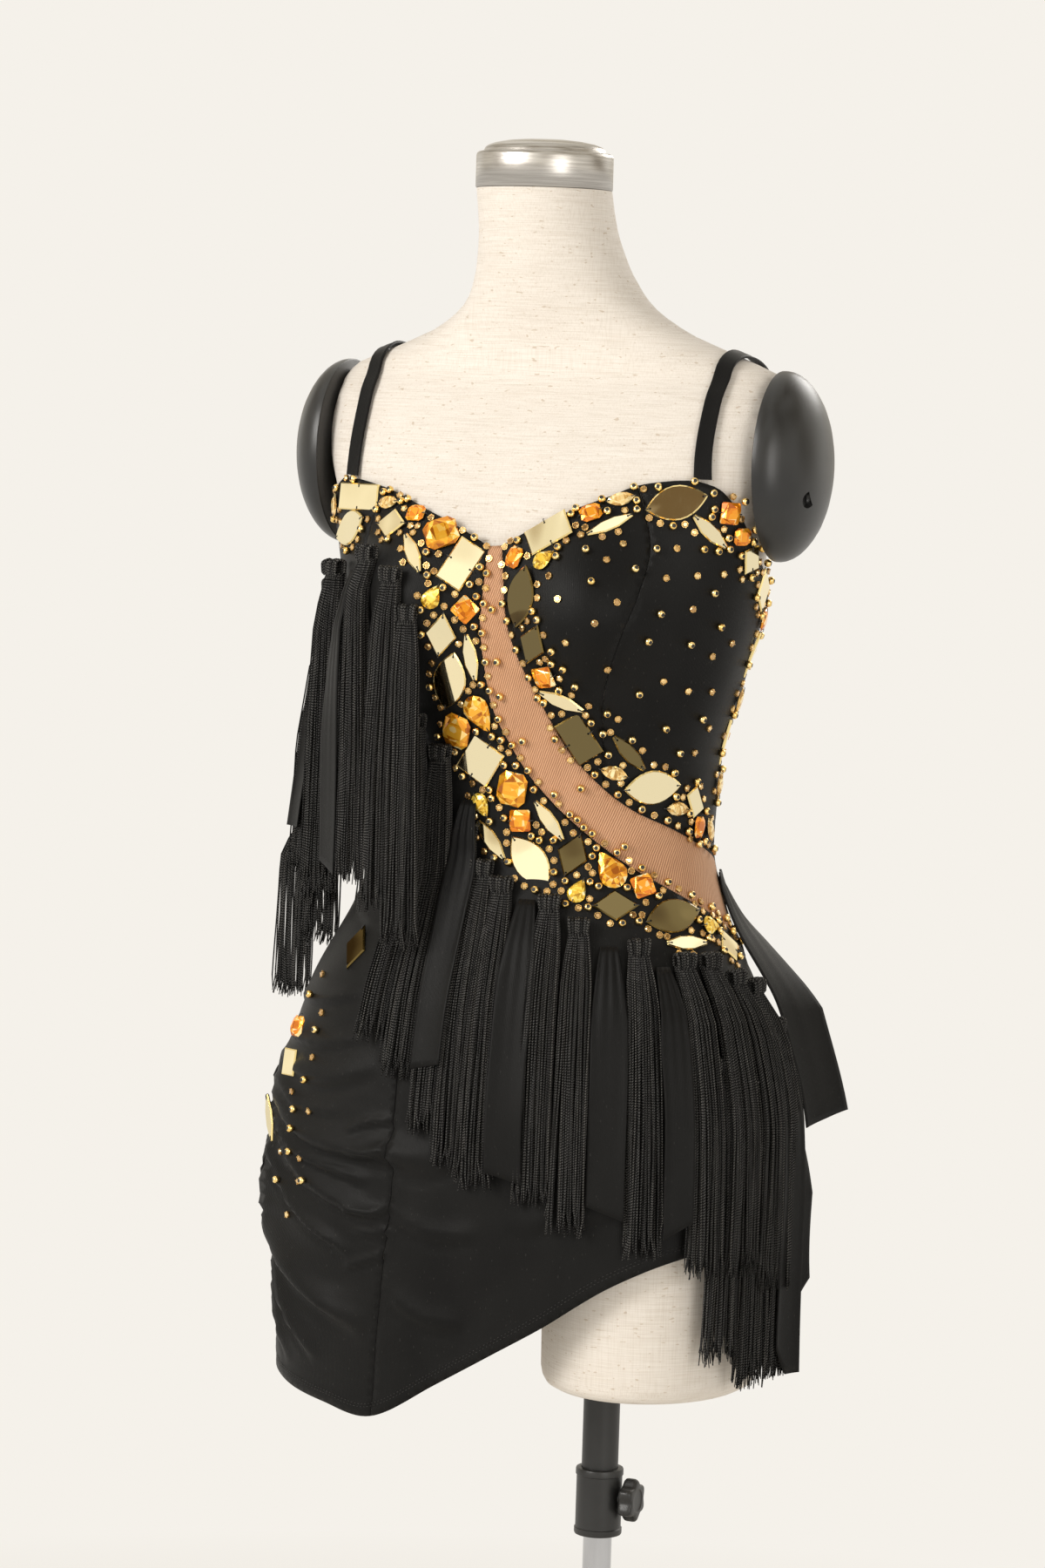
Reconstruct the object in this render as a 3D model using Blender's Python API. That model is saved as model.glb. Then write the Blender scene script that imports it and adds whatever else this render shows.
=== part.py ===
"""Salsa dance dress on a limbless dress form and its telescopic stand.

Lengths in the tables are in millimetres, and the mesh is made in metres with +Z up.
+X is the wearer's left and -Y the front. An angle is measured round the figure in
degrees: 0 is the centre front, +90 the wearer's left side and 180 the centre back.
"""
import math
from collections import namedtuple

import bmesh
import bpy
from mathutils import Matrix, Vector
from mathutils.bvhtree import BVHTree
from mathutils.geometry import delaunay_2d_cdt

MM = 0.001

# ---------------------------------------------------------------- driving dimensions
CLOTH_CLEARANCE = 1.4      # from the form's surface to the inside of the cloth
CLOTH_WALL = 1.6           # stretch knit with its turned edges
SEAM_GAP = 0.3             # between neighbouring pieces
PANEL_GRID = 30.0          # spacing of the points inside a panel
BUST_GRID = 18.0           # the same over the bust, where the cloth turns tightest
EDGE_STEP = 24.0           # spacing of the points along an edge
PANEL_OUT = CLOTH_CLEARANCE + CLOTH_WALL
PANEL_INSET = 0.62         # of the seam gap, by which each panel's own edge is drawn in
MITRE_LIMIT = 0.35         # the sharpest corner at which that stays true
EDGE_CLEARANCE = 6.0       # from a panel's inner points to its edges and stones
FOLD_CLEARANCE = 12.0      # from the grid of points to those of a fold
FOLD_FOOT = 13.0           # from a fold's crest to its foot
POINT_SPACING = 5.5        # the least between any two points
SOFT_EDGE = 40             # degrees from which an edge of the form shows as an edge
HARD_EDGE = 30             # the same on hard pieces

# Round the figure, from the hem to the neck. Below the hip line the rows are the
# skirt's own straight hang, because the form ends in two short thighs there.
Section = namedtuple("Section", "height half_width front back centre_y squareness")
FIGURE = (
    Section(640, 176, 104, 124, -33, 2.3),
    Section(760, 178, 107, 128, -33, 2.3),
    Section(880, 180, 108, 130, -30, 2.25),
    Section(960, 165, 104, 120, -24, 2.2),
    Section(1030, 133, 92, 100, -16, 2.1),
    Section(1078, 119, 84, 90, -10, 2.1),
    Section(1130, 121, 89, 94, -8, 2.1),
    Section(1190, 136, 96, 104, -10, 2.15),
    Section(1245, 150, 98, 110, -12, 2.2),
    Section(1300, 159, 89, 110, -14, 2.3),
    Section(1345, 170, 72, 104, -14, 2.4),
    Section(1385, 174, 54, 90, -10, 2.3),
    Section(1405, 162, 46, 78, -6, 2.1),
    Section(1420, 128, 46, 70, -6, 2.0),
    Section(1435, 92, 48, 62, -10, 2.0),
    Section(1455, 66, 50, 54, -18, 2.0),
    Section(1480, 54, 48, 50, -30, 2.0),
    Section(1510, 48, 47, 47, -42, 2.0),
    Section(1535, 47, 47, 47, -50, 2.0),
)
BUST_ANGLE = 33.0
BUST_HEIGHT = 1236.0
BUST_FULLNESS = 30.0
BUST_SPREAD = 21.0         # degrees each side of the bust point
BUST_ABOVE = 62.0
BUST_GRID_SPREAD = 1.4     # of the bust's spread, in which its points are closer
BUST_BELOW = 42.0

# Dress form
NECK_TOP = 1530.0
FORM_EASE = 2.4            # the form is this much slimmer where the cloth covers it
EASE_FROM = 1340.0
EASE_FULL = 1298.0
SHOULDER_CUT = 165.0       # the armholes are cut square at this half width
ARM_CUT_FROM = 1268.0
TORSO_COLUMNS = 28
TORSO_HEIGHTS = (880, 930, 970, 1012, 1054, 1090, 1130, 1160, 1182, 1204, 1226, 1247, 1270,
                 1305, 1345, 1385, 1405, 1413, 1420, 1428, 1438, 1456, 1486)
TorsoFoot = namedtuple("TorsoFoot", "height half_width front back centre_y")
TORSO_FOOT_SQUARENESS = 2.2
TORSO_FOOT = (
    TorsoFoot(772, 60, 40, 44, -26),
    TorsoFoot(780, 112, 72, 84, -27),
    TorsoFoot(798, 158, 94, 114, -29),
    TorsoFoot(835, 176, 105, 127, -30),
)
THIGH_SIDES = 18
THIGH_X = 98.0
THIGH_Y = -23.0
ThighRing = namedtuple("ThighRing", "height half_width half_depth")
THIGH_RINGS = (
    ThighRing(697, 66, 80),
    ThighRing(700, 71, 85),
    ThighRing(708, 74, 88),
    ThighRing(790, 75, 89),
    ThighRing(862, 74, 88),
)
ARM_DISC_Y = -4.0
ARM_DISC_Z = 1344.0
ARM_DISC_HALF_DEPTH = 56.0
ARM_DISC_HALF_HEIGHT = 66.0
DomeRing = namedtuple("DomeRing", "share out")
ARM_DISC_RINGS = (
    DomeRing(1.0, 0.0), DomeRing(1.0, 3.0), DomeRing(0.94, 12.0),
    DomeRing(0.76, 23.0), DomeRing(0.45, 31.0), DomeRing(0.15, 33.5),
)
CAP_Y = -49.0
TurnedRing = namedtuple("TurnedRing", "radius height")
CAP_PROFILE = (
    TurnedRing(46.0, 0.0), TurnedRing(47.7, 1.5), TurnedRing(47.7, 23.0), TurnedRing(46.0, 25.0),
    TurnedRing(41.5, 25.0), TurnedRing(41.0, 28.5), TurnedRing(34.0, 32.0), TurnedRing(16.0, 34.5),
)

# Stand, on the axis of the post in the wearer's left thigh
POST_X = 63.0
POST_Y = -23.0
POST_RADIUS = 10.25
POST_TOP = 800.0
POST_WALL = 1.5
TUBE_BORE = 10.7
TUBE_RADIUS = 13.0
TUBE_FOOT = 590.0
TUBE_TOP = 960.0
TUBE_CAP = 4.0
SOCKET_RADIUS = 13.6
SOCKET_FOOT = 600.0
SOCKET_TOP = 961.0
COLLAR_RADIUS = 17.0
COLLAR_FOOT = 583.0
COLLAR_TOP = 631.0
COLLAR_EDGE = 1.0           # how far its outer edges are turned in
COLLAR_EDGE_TALL = 1.5
KNOB_RADIUS = 15.5
KNOB_HEIGHT = 610.0
KNOB_THICKNESS = 12.0
KNOB_LOBES = 6
KNOB_STEM_RADIUS = 4.0
STEM_CLEARANCE = 0.4
STEM_HOLE_DEPTH = 14.0
STEM_HOLE_SIDES = 12
LOBE_DEPTH = 0.12          # of the knob's radius, between its lobes
KnobRing = namedtuple("KnobRing", "along share")
KNOB_PROFILE = (
    KnobRing(0.0, 0.45), KnobRing(2.0, 0.9), KnobRing(4.0, 1.0),
    KnobRing(KNOB_THICKNESS - 2, 1.0), KnobRing(KNOB_THICKNESS, 0.86),
)
BASE_SIDES = 28
BASE_RADIUS = 200.0
BASE_RIM = 5.0
BASE_SOCKET_RADIUS = 20.0
BASE_SOCKET_TOP = 42.0
BASE_PROFILE = (
    TurnedRing(BASE_RADIUS - 2, 0.0), TurnedRing(BASE_RADIUS, 1.5), TurnedRing(BASE_RADIUS, BASE_RIM),
    TurnedRing(BASE_RADIUS - 6, BASE_RIM + 3), TurnedRing(BASE_SOCKET_RADIUS + 14, BASE_RIM + 8),
    TurnedRing(BASE_SOCKET_RADIUS, BASE_SOCKET_TOP - 14),
    TurnedRing(BASE_SOCKET_RADIUS, BASE_SOCKET_TOP - 1),
    TurnedRing(BASE_SOCKET_RADIUS - 1, BASE_SOCKET_TOP),
)
STAND_SIDES = 24

# Outlines on the figure, each read from the top or from the centre front outwards
Spot = namedtuple("Spot", "angle height")
LEFT_NECKLINE = (
    Spot(3, 1285), Spot(14, 1296), Spot(29, 1310), Spot(43, 1321), Spot(52, 1329),
    Spot(61, 1333), Spot(66, 1333.5),
)
RIGHT_NECKLINE = (
    Spot(-3, 1284), Spot(-19, 1299), Spot(-34, 1310), Spot(-44, 1316.5), Spot(-52, 1321),
    Spot(-62, 1325.5), Spot(-68, 1326.5),
)
LEFT_ARMHOLE = (
    Spot(66, 1333.5), Spot(71, 1328), Spot(75.5, 1315), Spot(80, 1301), Spot(87, 1282),
    Spot(97, 1265), Spot(104, 1257),
)
RIGHT_ARMHOLE = (
    Spot(-68, 1326.5), Spot(-72, 1319), Spot(-76, 1307), Spot(-80.5, 1293), Spot(-88, 1277),
    Spot(-97, 1263), Spot(-104, 1256),
)
BACK_NECKLINE = (
    Spot(104, 1257), Spot(118, 1246), Spot(131, 1226), Spot(146, 1190), Spot(163, 1158),
    Spot(180, 1146), Spot(197, 1158), Spot(214, 1190), Spot(229, 1226), Spot(242, 1246),
    Spot(256, 1256),
)
CUP_SEAM = (
    Spot(52, 1329), Spot(53, 1308), Spot(53, 1284), Spot(48, 1255), Spot(43, 1226),
    Spot(41.5, 1190), Spot(43, 1158), Spot(45, 1119.5),
)
INSET_UPPER_EDGE = (
    Spot(3, 1285), Spot(5, 1260), Spot(7, 1231), Spot(11, 1210), Spot(16, 1191),
    Spot(24, 1165), Spot(32, 1143), Spot(45, 1119.5), Spot(57, 1104), Spot(70, 1093),
    Spot(86, 1079), Spot(104, 1066),
)
INSET_LOWER_EDGE = (
    Spot(-3, 1284), Spot(-3.3, 1255), Spot(-4.2, 1230), Spot(-3.4, 1203), Spot(-1, 1174),
    Spot(5, 1152), Spot(14, 1129), Spot(24, 1111), Spot(34, 1096), Spot(54, 1069),
    Spot(72, 1048), Spot(88, 1030), Spot(104, 1012),
)
RIGHT_PRINCESS_SEAM = (
    Spot(-52, 1321), Spot(-52, 1284), Spot(-47, 1255), Spot(-42, 1226), Spot(-38, 1190),
    Spot(-33, 1130), Spot(-29, 1060), Spot(-27, 980), Spot(-26, 900), Spot(-26, 830),
    Spot(-28, 784), Spot(-30, 735), Spot(-32, 674),
)
RIGHT_SIDE_SEAM = (
    Spot(-104, 1256), Spot(-104, 1150), Spot(-98, 1050), Spot(-84, 960), Spot(-77, 900),
    Spot(-75, 840), Spot(-77, 760), Spot(-80, 692),
)
LEFT_SIDE_SEAM_UPPER = (Spot(104, 1257), Spot(103, 1170), Spot(104, 1066))
LEFT_SIDE_SEAM_INSET = (Spot(104, 1066), Spot(104, 1012))
LEFT_SIDE_SEAM_LOWER = (Spot(104, 1012), Spot(103, 940), Spot(102, 822))
HEM = (
    Spot(-80, 692), Spot(-66, 683), Spot(-50, 677), Spot(-32, 674), Spot(-8, 702),
    Spot(14, 728), Spot(32, 752), Spot(50, 783), Spot(65, 802), Spot(82, 813), Spot(102, 822),
)
BACK_HEM = (
    Spot(102, 822), Spot(125, 806), Spot(155, 778), Spot(185, 750), Spot(215, 724),
    Spot(245, 704), Spot(262, 697), Spot(280, 692),
)

# Ruching drawn into the right side seam: start, middle and end of each ridge
Fold = namedtuple("Fold", "start middle end rise width")
FOLDS = (
    Fold(Spot(-76, 912), Spot(-54, 905), Spot(-34, 920), 3.0, 9),
    Fold(Spot(-76, 892), Spot(-54, 862), Spot(-6, 860), 5.0, 10),
    Fold(Spot(-76, 868), Spot(-52, 829), Spot(-28, 813), 4.5, 9),
    Fold(Spot(-77, 846), Spot(-69, 778), Spot(-34, 733), 6.0, 12),
    Fold(Spot(-77, 902), Spot(-98, 884), Spot(-124, 890), 4.0, 10),
    Fold(Spot(-76, 872), Spot(-98, 838), Spot(-132, 826), 5.0, 11),
    Fold(Spot(-77, 846), Spot(-92, 786), Spot(-122, 744), 4.5, 12),
)

# Corners of the stones' outlines, as shares of half the length and half the width
Corner = namedtuple("Corner", "along across")
OBLONG = (Corner(1, 1), Corner(-1, 1), Corner(-1, -1), Corner(1, -1))
DIAMOND = (Corner(1, 0), Corner(0, 1), Corner(-1, 0), Corner(0, -1))
LONG_SHUTTLE = (
    Corner(1, 0.3), Corner(0.3, 1), Corner(-0.3, 1), Corner(-1, 0.3),
    Corner(-1, -0.3), Corner(-0.3, -1), Corner(0.3, -1), Corner(1, -0.3),
)
CUT_CORNERED = (
    Corner(1, 0.62), Corner(0.62, 1), Corner(-0.62, 1), Corner(-1, 0.62),
    Corner(-1, -0.62), Corner(-0.62, -1), Corner(0.62, -1), Corner(1, -0.62),
)
DROP = (
    Corner(1, 0), Corner(0.25, 0.72), Corner(-0.35, 1), Corner(-0.85, 0.6),
    Corner(-1, 0), Corner(-0.85, -0.6), Corner(-0.35, -1), Corner(0.25, -0.72),
)
LEAF = (
    Corner(1, 0), Corner(0.52, 0.74), Corner(0, 1), Corner(-0.52, 0.74),
    Corner(-1, 0), Corner(-0.52, -0.74), Corner(0, -1), Corner(0.52, -0.74),
)

# Large stones: flat acrylic mirrors, and faceted crystals with a raised table
Cut = namedtuple("Cut", "shape length width girdle table")
CUTS = {
    "leaf": Cut(LEAF, 44, 24, 2.0, 0.0),
    "small_leaf": Cut(LEAF, 34, 18, 2.0, 0.0),
    "plate": Cut(OBLONG, 33, 20, 2.0, 0.0),
    "small_plate": Cut(OBLONG, 19, 13, 2.0, 0.0),
    "long_plate": Cut(OBLONG, 42, 19, 2.0, 0.0),
    "bar": Cut(LONG_SHUTTLE, 34, 8, 2.0, 0.0),
    "rhombus": Cut(DIAMOND, 33, 22, 2.0, 0.0),
    "tile": Cut(OBLONG, 27, 27, 2.0, 0.0),
    "small_tile": Cut(OBLONG, 17, 17, 2.0, 0.0),
    "hexagon": Cut(LONG_SHUTTLE, 33, 10, 2.0, 0.0),
    "cushion": Cut(CUT_CORNERED, 24, 21, 2.0, 5.0),
    "square": Cut(OBLONG, 15, 15, 1.8, 4.0),
    "octagon": Cut(CUT_CORNERED, 15, 12, 1.8, 3.6),
    "pear": Cut(DROP, 28, 20, 2.0, 5.0),
    "small_pear": Cut(DROP, 18, 13, 1.8, 4.0),
    "navette": Cut(LEAF, 20, 10, 1.8, 3.6),
}
TABLE_SHARE = 0.55         # a crystal's flat table against its outline
Stone = namedtuple("Stone", "cut angle height turn")
RIGHT_BAND = (
    Stone("long_plate", -60.5, 1313, 0), Stone("navette", -73.5, 1306, 60), Stone("leaf", -63, 1291, 22),
    Stone("navette", -47, 1310, 5), Stone("octagon", -33, 1303.5, 0),
    Stone("rhombus", -41.5, 1296, 2), Stone("cushion", -21, 1291, 25),
    Stone("hexagon", -27.5, 1277, -50), Stone("plate", -12, 1271, 66),
    Stone("small_pear", -18.5, 1248, 66), Stone("square", -9, 1240, 47),
    Stone("rhombus", -16.5, 1222, 74), Stone("hexagon", -8, 1207, -83),
    Stone("leaf", -17, 1190, 70), Stone("pear", -6, 1168, -60), Stone("cushion", -17, 1155, 70),
    Stone("tile", -7, 1135, -32), Stone("cushion", 8, 1117, 80), Stone("small_pear", -7, 1104, -58),
    Stone("square", 12, 1095, 4), Stone("hexagon", 24.5, 1096, -50), Stone("hexagon", -2, 1080, -50),
    Stone("leaf", 17.5, 1067, -50), Stone("rhombus", 35, 1073, 72), Stone("pear", 49, 1064, 122),
    Stone("small_pear", 37.5, 1049, 65), Stone("square", 60, 1053, 18), Stone("rhombus", 50.5, 1040, 2),
    Stone("leaf", 69, 1033, 9), Stone("small_pear", 83, 1025, -4), Stone("hexagon", 72, 1015, -2),
    Stone("small_tile", 90, 1010, 45),
)
LEFT_BAND = (
    Stone("octagon", 9.5, 1277, 68), Stone("plate", 22, 1295, 30), Stone("small_pear", 21, 1277, 37),
    Stone("leaf", 13, 1251, 76), Stone("rhombus", 17.5, 1219, 72), Stone("square", 21.5, 1197, 14),
    Stone("hexagon", 27.5, 1180, -22), Stone("plate", 34.5, 1154, -55),
    Stone("hexagon", 52.5, 1145, -44), Stone("navette", 48, 1131, -14), Stone("leaf", 62, 1121, 4),
    Stone("navette", 72, 1106, -2), Stone("small_plate", 80, 1110, -60),
    Stone("octagon", 83, 1092, 90), Stone("navette", 91, 1089, -60),
    Stone("octagon", 36.5, 1309, 22), Stone("bar", 42, 1302, 26), Stone("navette", 46.5, 1319, 14),
    Stone("leaf", 61, 1318, 14), Stone("square", 73.5, 1312, -4), Stone("hexagon", 69, 1299, -40),
    Stone("octagon", 78, 1296, 0), Stone("small_tile", 83, 1280, 14), Stone("rhombus", 93, 1258, 100),
    Stone("octagon", 99, 1237, 100), Stone("bar", 98, 1212, 88), Stone("navette", 97, 1180, 100),
    Stone("bar", 97, 1150, 95), Stone("navette", 97, 1120, 90),
)
SKIRT_STONES = (
    Stone("rhombus", -54, 997, 90), Stone("octagon", -67, 936, 90), Stone("small_plate", -66, 911, 90),
    Stone("bar", -71.5, 868, -72),
)

# Shoulder straps
STRAP_WIDTH = 11.0
STRAP_WALL = 2.0
STRAP_CLEARANCE = 1.9
STRAP_HALF_SPACING = 133.0   # of the straps at the top of the shoulder
STRAP_STEPS = 16
STRAP_HUB = Vector((0, -8, 1330))   # inside the shoulders, from which the straps' way round is read
STRAP_ROUNDNESS = 0.8
LEFT_STRAP_ENDS = (Spot(68, 1334), Spot(126, 1236))
RIGHT_STRAP_ENDS = (Spot(-66, 1327.5), Spot(-126, 1236))

# Fringe: each tassel is a bound head with its locks, hung from the head's angle and height.
# layer 1 lies on the cloth and layer 2 in front of it.
HEAD_WIDTH = 15.0
HEAD_DEPTH = 8.0
HEAD_TALL = 10.0
SEAT_GAP = 0.4             # from the cloth to what is sewn on it
SEAT_REACH = 30.0
LOCK_COLUMNS = 4
LOCK_ROWS = 2
LOCK_SIZE = 3.4
LAYER_OUT = {1: 8.9, 2: 17.0}
LOCK_ROW_STEP = 3.9
LOCK_SPREAD = 1.06         # of the locks' spacing at their ends
LOCK_STEPS = 12            # where a lock may bend, on its way down
LOCK_BEND = 3.0            # a lock bends only where a straight one would be this far off
Tassel = namedtuple("Tassel", "name angle height layer length")
TASSELS = (
    Tassel("bust_tassel_1", -79, 1254, 1, 222), Tassel("bust_tassel_2", -66, 1269, 1, 222),
    Tassel("bust_tassel_3", -43, 1282, 1, 222), Tassel("bust_tassel_4", -31, 1269, 1, 228),
    Tassel("bust_tassel_5", -25, 1243, 1, 225),
    Tassel("waist_tassel_1", -34, 1166, 1, 215), Tassel("waist_tassel_2", -24.5, 1146, 1, 218),
    Tassel("waist_tassel_3", -13.5, 1091, 1, 200), Tassel("waist_tassel_4", -3.5, 1068, 1, 198),
    Tassel("waist_tassel_5", 7, 1058, 1, 201), Tassel("hip_tassel_1", 28, 1048, 1, 199),
    Tassel("hip_tassel_2", 39, 1033, 1, 202), Tassel("hip_tassel_3", 57, 1020, 1, 203),
    Tassel("hip_tassel_4", 69, 1011, 2, 207), Tassel("hip_tassel_5", 76.5, 1010, 2, 206),
    Tassel("hip_tassel_6", 83.5, 998, 2, 208), Tassel("hip_tassel_7", 91, 990, 2, 203),
    Tassel("hip_tassel_8", 99, 960, 1, 200),
    Tassel("low_tassel_1", 73, 942, 1, 200), Tassel("low_tassel_2", 82, 926, 1, 203),
    Tassel("low_tassel_3", 92, 924, 1, 200),
    Tassel("back_tassel_1", -88, 1230, 2, 180), Tassel("back_tassel_2", -86, 1184, 1, 182),
    Tassel("back_tassel_3", -93, 1144, 1, 184), Tassel("back_tassel_4", -101, 1104, 1, 184),
    Tassel("back_tassel_5", -145, 1078, 1, 200), Tassel("back_tassel_6", -172, 1068, 1, 205),
    Tassel("back_tassel_7", 160, 1062, 1, 210), Tassel("back_tassel_8", 132, 1058, 1, 212),
)
Strip = namedtuple("Strip", "name angle height length width out")
STRIP_WALL = 1.2
STRIP_TOP = 0.45           # of its width, where a strip is gathered into the seam
STRIP_SHARES = (0.0, 0.08, 0.3, 0.55, 0.78, 1.0)
STRIP_COLUMNS = 3
STRIP_WIDENING = 2.5       # a strip has its whole width at one part in this of its length
STRIP_RAGGED = 0.04        # of its length, by which its cut end rises and falls
STRIP_BED = (0, 2, 4)      # below its top, where a strip lies on what carries it
STRIPS = (
    Strip("bust_strip_1", -84, 1240, 168, 22, 29.0), Strip("bust_strip_2", -55, 1262, 205, 24, 8.4),
    Strip("waist_strip_1", -12.5, 1107, 184, 24, 17.0), Strip("hip_strip_1", 18.5, 1042, 184, 26, 17.0),
    Strip("hip_strip_2", 48.5, 1013, 174, 26, 9.0), Strip("hip_strip_3", 63, 1000, 180, 22, 24.5),
    Strip("side_strip_1", 107.5, 1058, 198, 50, 24.5), Strip("side_strip_2", 105, 934, 190, 30, 19.0),
    Strip("side_strip_3", 91, 977, 254, 26, 29.0),
    Strip("back_strip_1", -132, 1072, 210, 30, 9.0), Strip("back_strip_2", -158, 1062, 215, 30, 9.0),
    Strip("back_strip_3", 146, 1058, 220, 30, 9.0),
)


# ---------------------------------------------------------------- reading the figure
def smooth_columns(rows):
    """Return a function of height that reads each column on a curve with no overshoot."""
    heights = [row[0] for row in rows]
    columns = list(zip(*[row[1:] for row in rows]))
    spans = [b - a for a, b in zip(heights, heights[1:])]

    def slopes(values):
        steps = [(b - a) / span for a, b, span in zip(values, values[1:], spans)]
        inner = []
        for k in range(1, len(values) - 1):
            before, after = steps[k - 1], steps[k]
            if before * after <= 0:
                inner.append(0.0)
                continue
            w_before = spans[k] + 2 * spans[k - 1]
            w_after = 2 * spans[k] + spans[k - 1]
            inner.append((w_before + w_after) / (w_after / before + w_before / after))
        return [steps[0]] + inner + [steps[-1]]

    column_slopes = [slopes(values) for values in columns]

    def read(height):
        height = min(max(height, heights[0]), heights[-1])
        k = max(i for i in range(len(heights) - 1) if heights[i] <= height)
        t = (height - heights[k]) / spans[k]
        result = []
        for values, slope in zip(columns, column_slopes):
            result.append(values[k] * (1 + 2 * t) * (1 - t) ** 2 + values[k + 1] * t * t * (3 - 2 * t)
                          + spans[k] * t * (1 - t) * (slope[k] * (1 - t) - slope[k + 1] * t))
        return result

    return read


figure_at = smooth_columns(FIGURE)


def radius(angle, height):
    """Distance from the section's centre to the figure, with the bust."""
    half_width, front, back, _, squareness = figure_at(height)
    side, ahead = math.sin(math.radians(angle)), math.cos(math.radians(angle))
    depth = front if ahead > 0 else back
    oval = (abs(side / half_width) ** squareness + abs(ahead / depth) ** squareness) ** (-1 / squareness)
    above = height - BUST_HEIGHT
    fade = (above / (BUST_ABOVE if above > 0 else BUST_BELOW)) ** 2
    for bust in (-BUST_ANGLE, BUST_ANGLE):
        off = (angle - bust + 180) % 360 - 180
        oval += BUST_FULLNESS * math.exp(-(off / BUST_SPREAD) ** 2 - fade)
    return oval


def on_figure(angle, height, out=0.0):
    """Return the point at an angle and height, a distance out from the figure."""
    reach = radius(angle, height) + out
    a = math.radians(angle)
    return Vector((reach * math.sin(a), figure_at(height)[3] - reach * math.cos(a), height))


def span_point(spots, share):
    """Read a smooth curve through the spots, by spot number and share."""
    k = min(int(share), len(spots) - 2)
    t = share - k
    before, after = spots[max(k - 1, 0)], spots[min(k + 2, len(spots) - 1)]
    a, b = spots[k], spots[k + 1]
    point = []
    for p0, p1, p2, p3 in zip(before, a, b, after):
        point.append(0.5 * (2 * p1 + (p2 - p0) * t + (2 * p0 - 5 * p1 + 4 * p2 - p3) * t * t
                            + (3 * p1 - p0 - 3 * p2 + p3) * t ** 3))
    return Spot(*point)


def edge(spots):
    """Return a smooth edge with a point about every EDGE_STEP along the figure."""
    points = [Spot(*spots[0])]
    for k in range(len(spots) - 1):
        length = (on_figure(*spots[k + 1]) - on_figure(*spots[k])).length
        steps = max(1, round(length / EDGE_STEP))
        points += [span_point(spots, k + i / steps) for i in range(1, steps + 1)]
    return points


def join(*edges):
    """Join edges end to end into one closed outline."""
    outline = []
    for points in edges:
        outline += points[:-1]
    return outline


def backwards(points):
    return points[::-1]


def round_the_back(points):
    """Give an edge on the wearer's right the angle that it has counted past the back."""
    return [Spot(p.angle + 360, p.height) if p.angle < 0 else p for p in points]


# ---------------------------------------------------------------- meshes and materials
def finish(name, build_mesh, material, smooth_angle=None):
    """Make an object from a bmesh in millimetres."""
    bmesh.ops.recalc_face_normals(build_mesh, faces=build_mesh.faces)
    build_mesh.transform(Matrix.Scale(MM, 4))
    mesh = bpy.data.meshes.new(name)
    build_mesh.to_mesh(mesh)
    build_mesh.free()
    if smooth_angle:
        mesh.shade_smooth()
        mesh.set_sharp_from_angle(angle=math.radians(smooth_angle))
    piece = bpy.data.objects.new(name, mesh)
    mesh.materials.append(material)
    bpy.context.collection.objects.link(piece)
    return piece


def material(name, colour, roughness, metallic=0.0):
    made = bpy.data.materials.new(name)
    made.use_nodes = True
    shader = made.node_tree.nodes["Principled BSDF"]
    shader.inputs["Base Color"].default_value = (*colour, 1.0)
    shader.inputs["Roughness"].default_value = roughness
    shader.inputs["Metallic"].default_value = metallic
    return made


def loft(rings):
    """Skin closed rings of equal size into a bmesh, with a flat face at each end."""
    made = bmesh.new()
    loops = [[made.verts.new(point) for point in ring] for ring in rings]
    for lower, upper in zip(loops, loops[1:]):
        for i in range(len(lower)):
            j = (i + 1) % len(lower)
            made.faces.new((lower[i], lower[j], upper[j], upper[i]))
    made.faces.new(loops[0])
    made.faces.new(loops[-1])
    return made


def turned(profile, x, y, foot, sides):
    """Turn rows of radius and height about an upright axis."""
    rings = []
    for ring_radius, height in profile:
        turns = [math.tau * i / sides for i in range(sides)]
        rings.append([(x + ring_radius * math.cos(a), y + ring_radius * math.sin(a), foot + height)
                      for a in turns])
    return loft(rings)


def combine(piece, other, operation):
    """Join or cut a piece with another, which is used up."""
    boolean = piece.modifiers.new(operation, "BOOLEAN")
    boolean.operation = operation
    boolean.object = other
    bpy.context.view_layer.objects.active = piece
    bpy.context.view_layer.update()
    evaluated = piece.evaluated_get(bpy.context.evaluated_depsgraph_get())
    mesh = bpy.data.meshes.new_from_object(evaluated)
    piece.modifiers.clear()
    piece.data = mesh
    bpy.data.objects.remove(other)


# ---------------------------------------------------------------- cloth panels
MM_PER_DEGREE = 2.3        # of the flat plan in which a panel is laid out
FOLD_STEPS = 8             # along a fold
FOLD_START = 0.18          # of a half wave, where a fold begins at the seam
FOLD_STRENGTH = 1.6        # by which the half wave is raised before it is cut off at one


def plan(spot):
    return Vector((spot[0] * MM_PER_DEGREE, spot[1]))


def ridge(fold, steps=FOLD_STEPS):
    """Return the points along a fold's crest in the plan, with the share of the way."""
    spots = (fold.start, fold.middle, fold.end)
    return [(plan(span_point(spots, 2 * i / steps)), i / steps) for i in range(steps + 1)]


RIDGES = [(fold, ridge(fold)) for fold in FOLDS]


def fold_rise(angle, height):
    """Return how far the ruching lifts the cloth at a spot."""
    rise = 0.0
    for turn in (-360, 0):
        here = plan((angle + turn, height))
        for fold, crest in RIDGES:
            away, share = min(((here - point).length, along) for point, along in crest)
            wave = math.sin(math.pi * (FOLD_START + (1 - FOLD_START) * share))
            fade = min(1.0, FOLD_STRENGTH * wave)
            rise = max(rise, fold.rise * fade * math.exp(-(away / fold.width) ** 2))
    return rise


def cloth_point(spot_plan, out):
    angle, height = spot_plan[0] / MM_PER_DEGREE, spot_plan[1]
    return on_figure(angle, height, out + fold_rise(angle, height))


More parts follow.
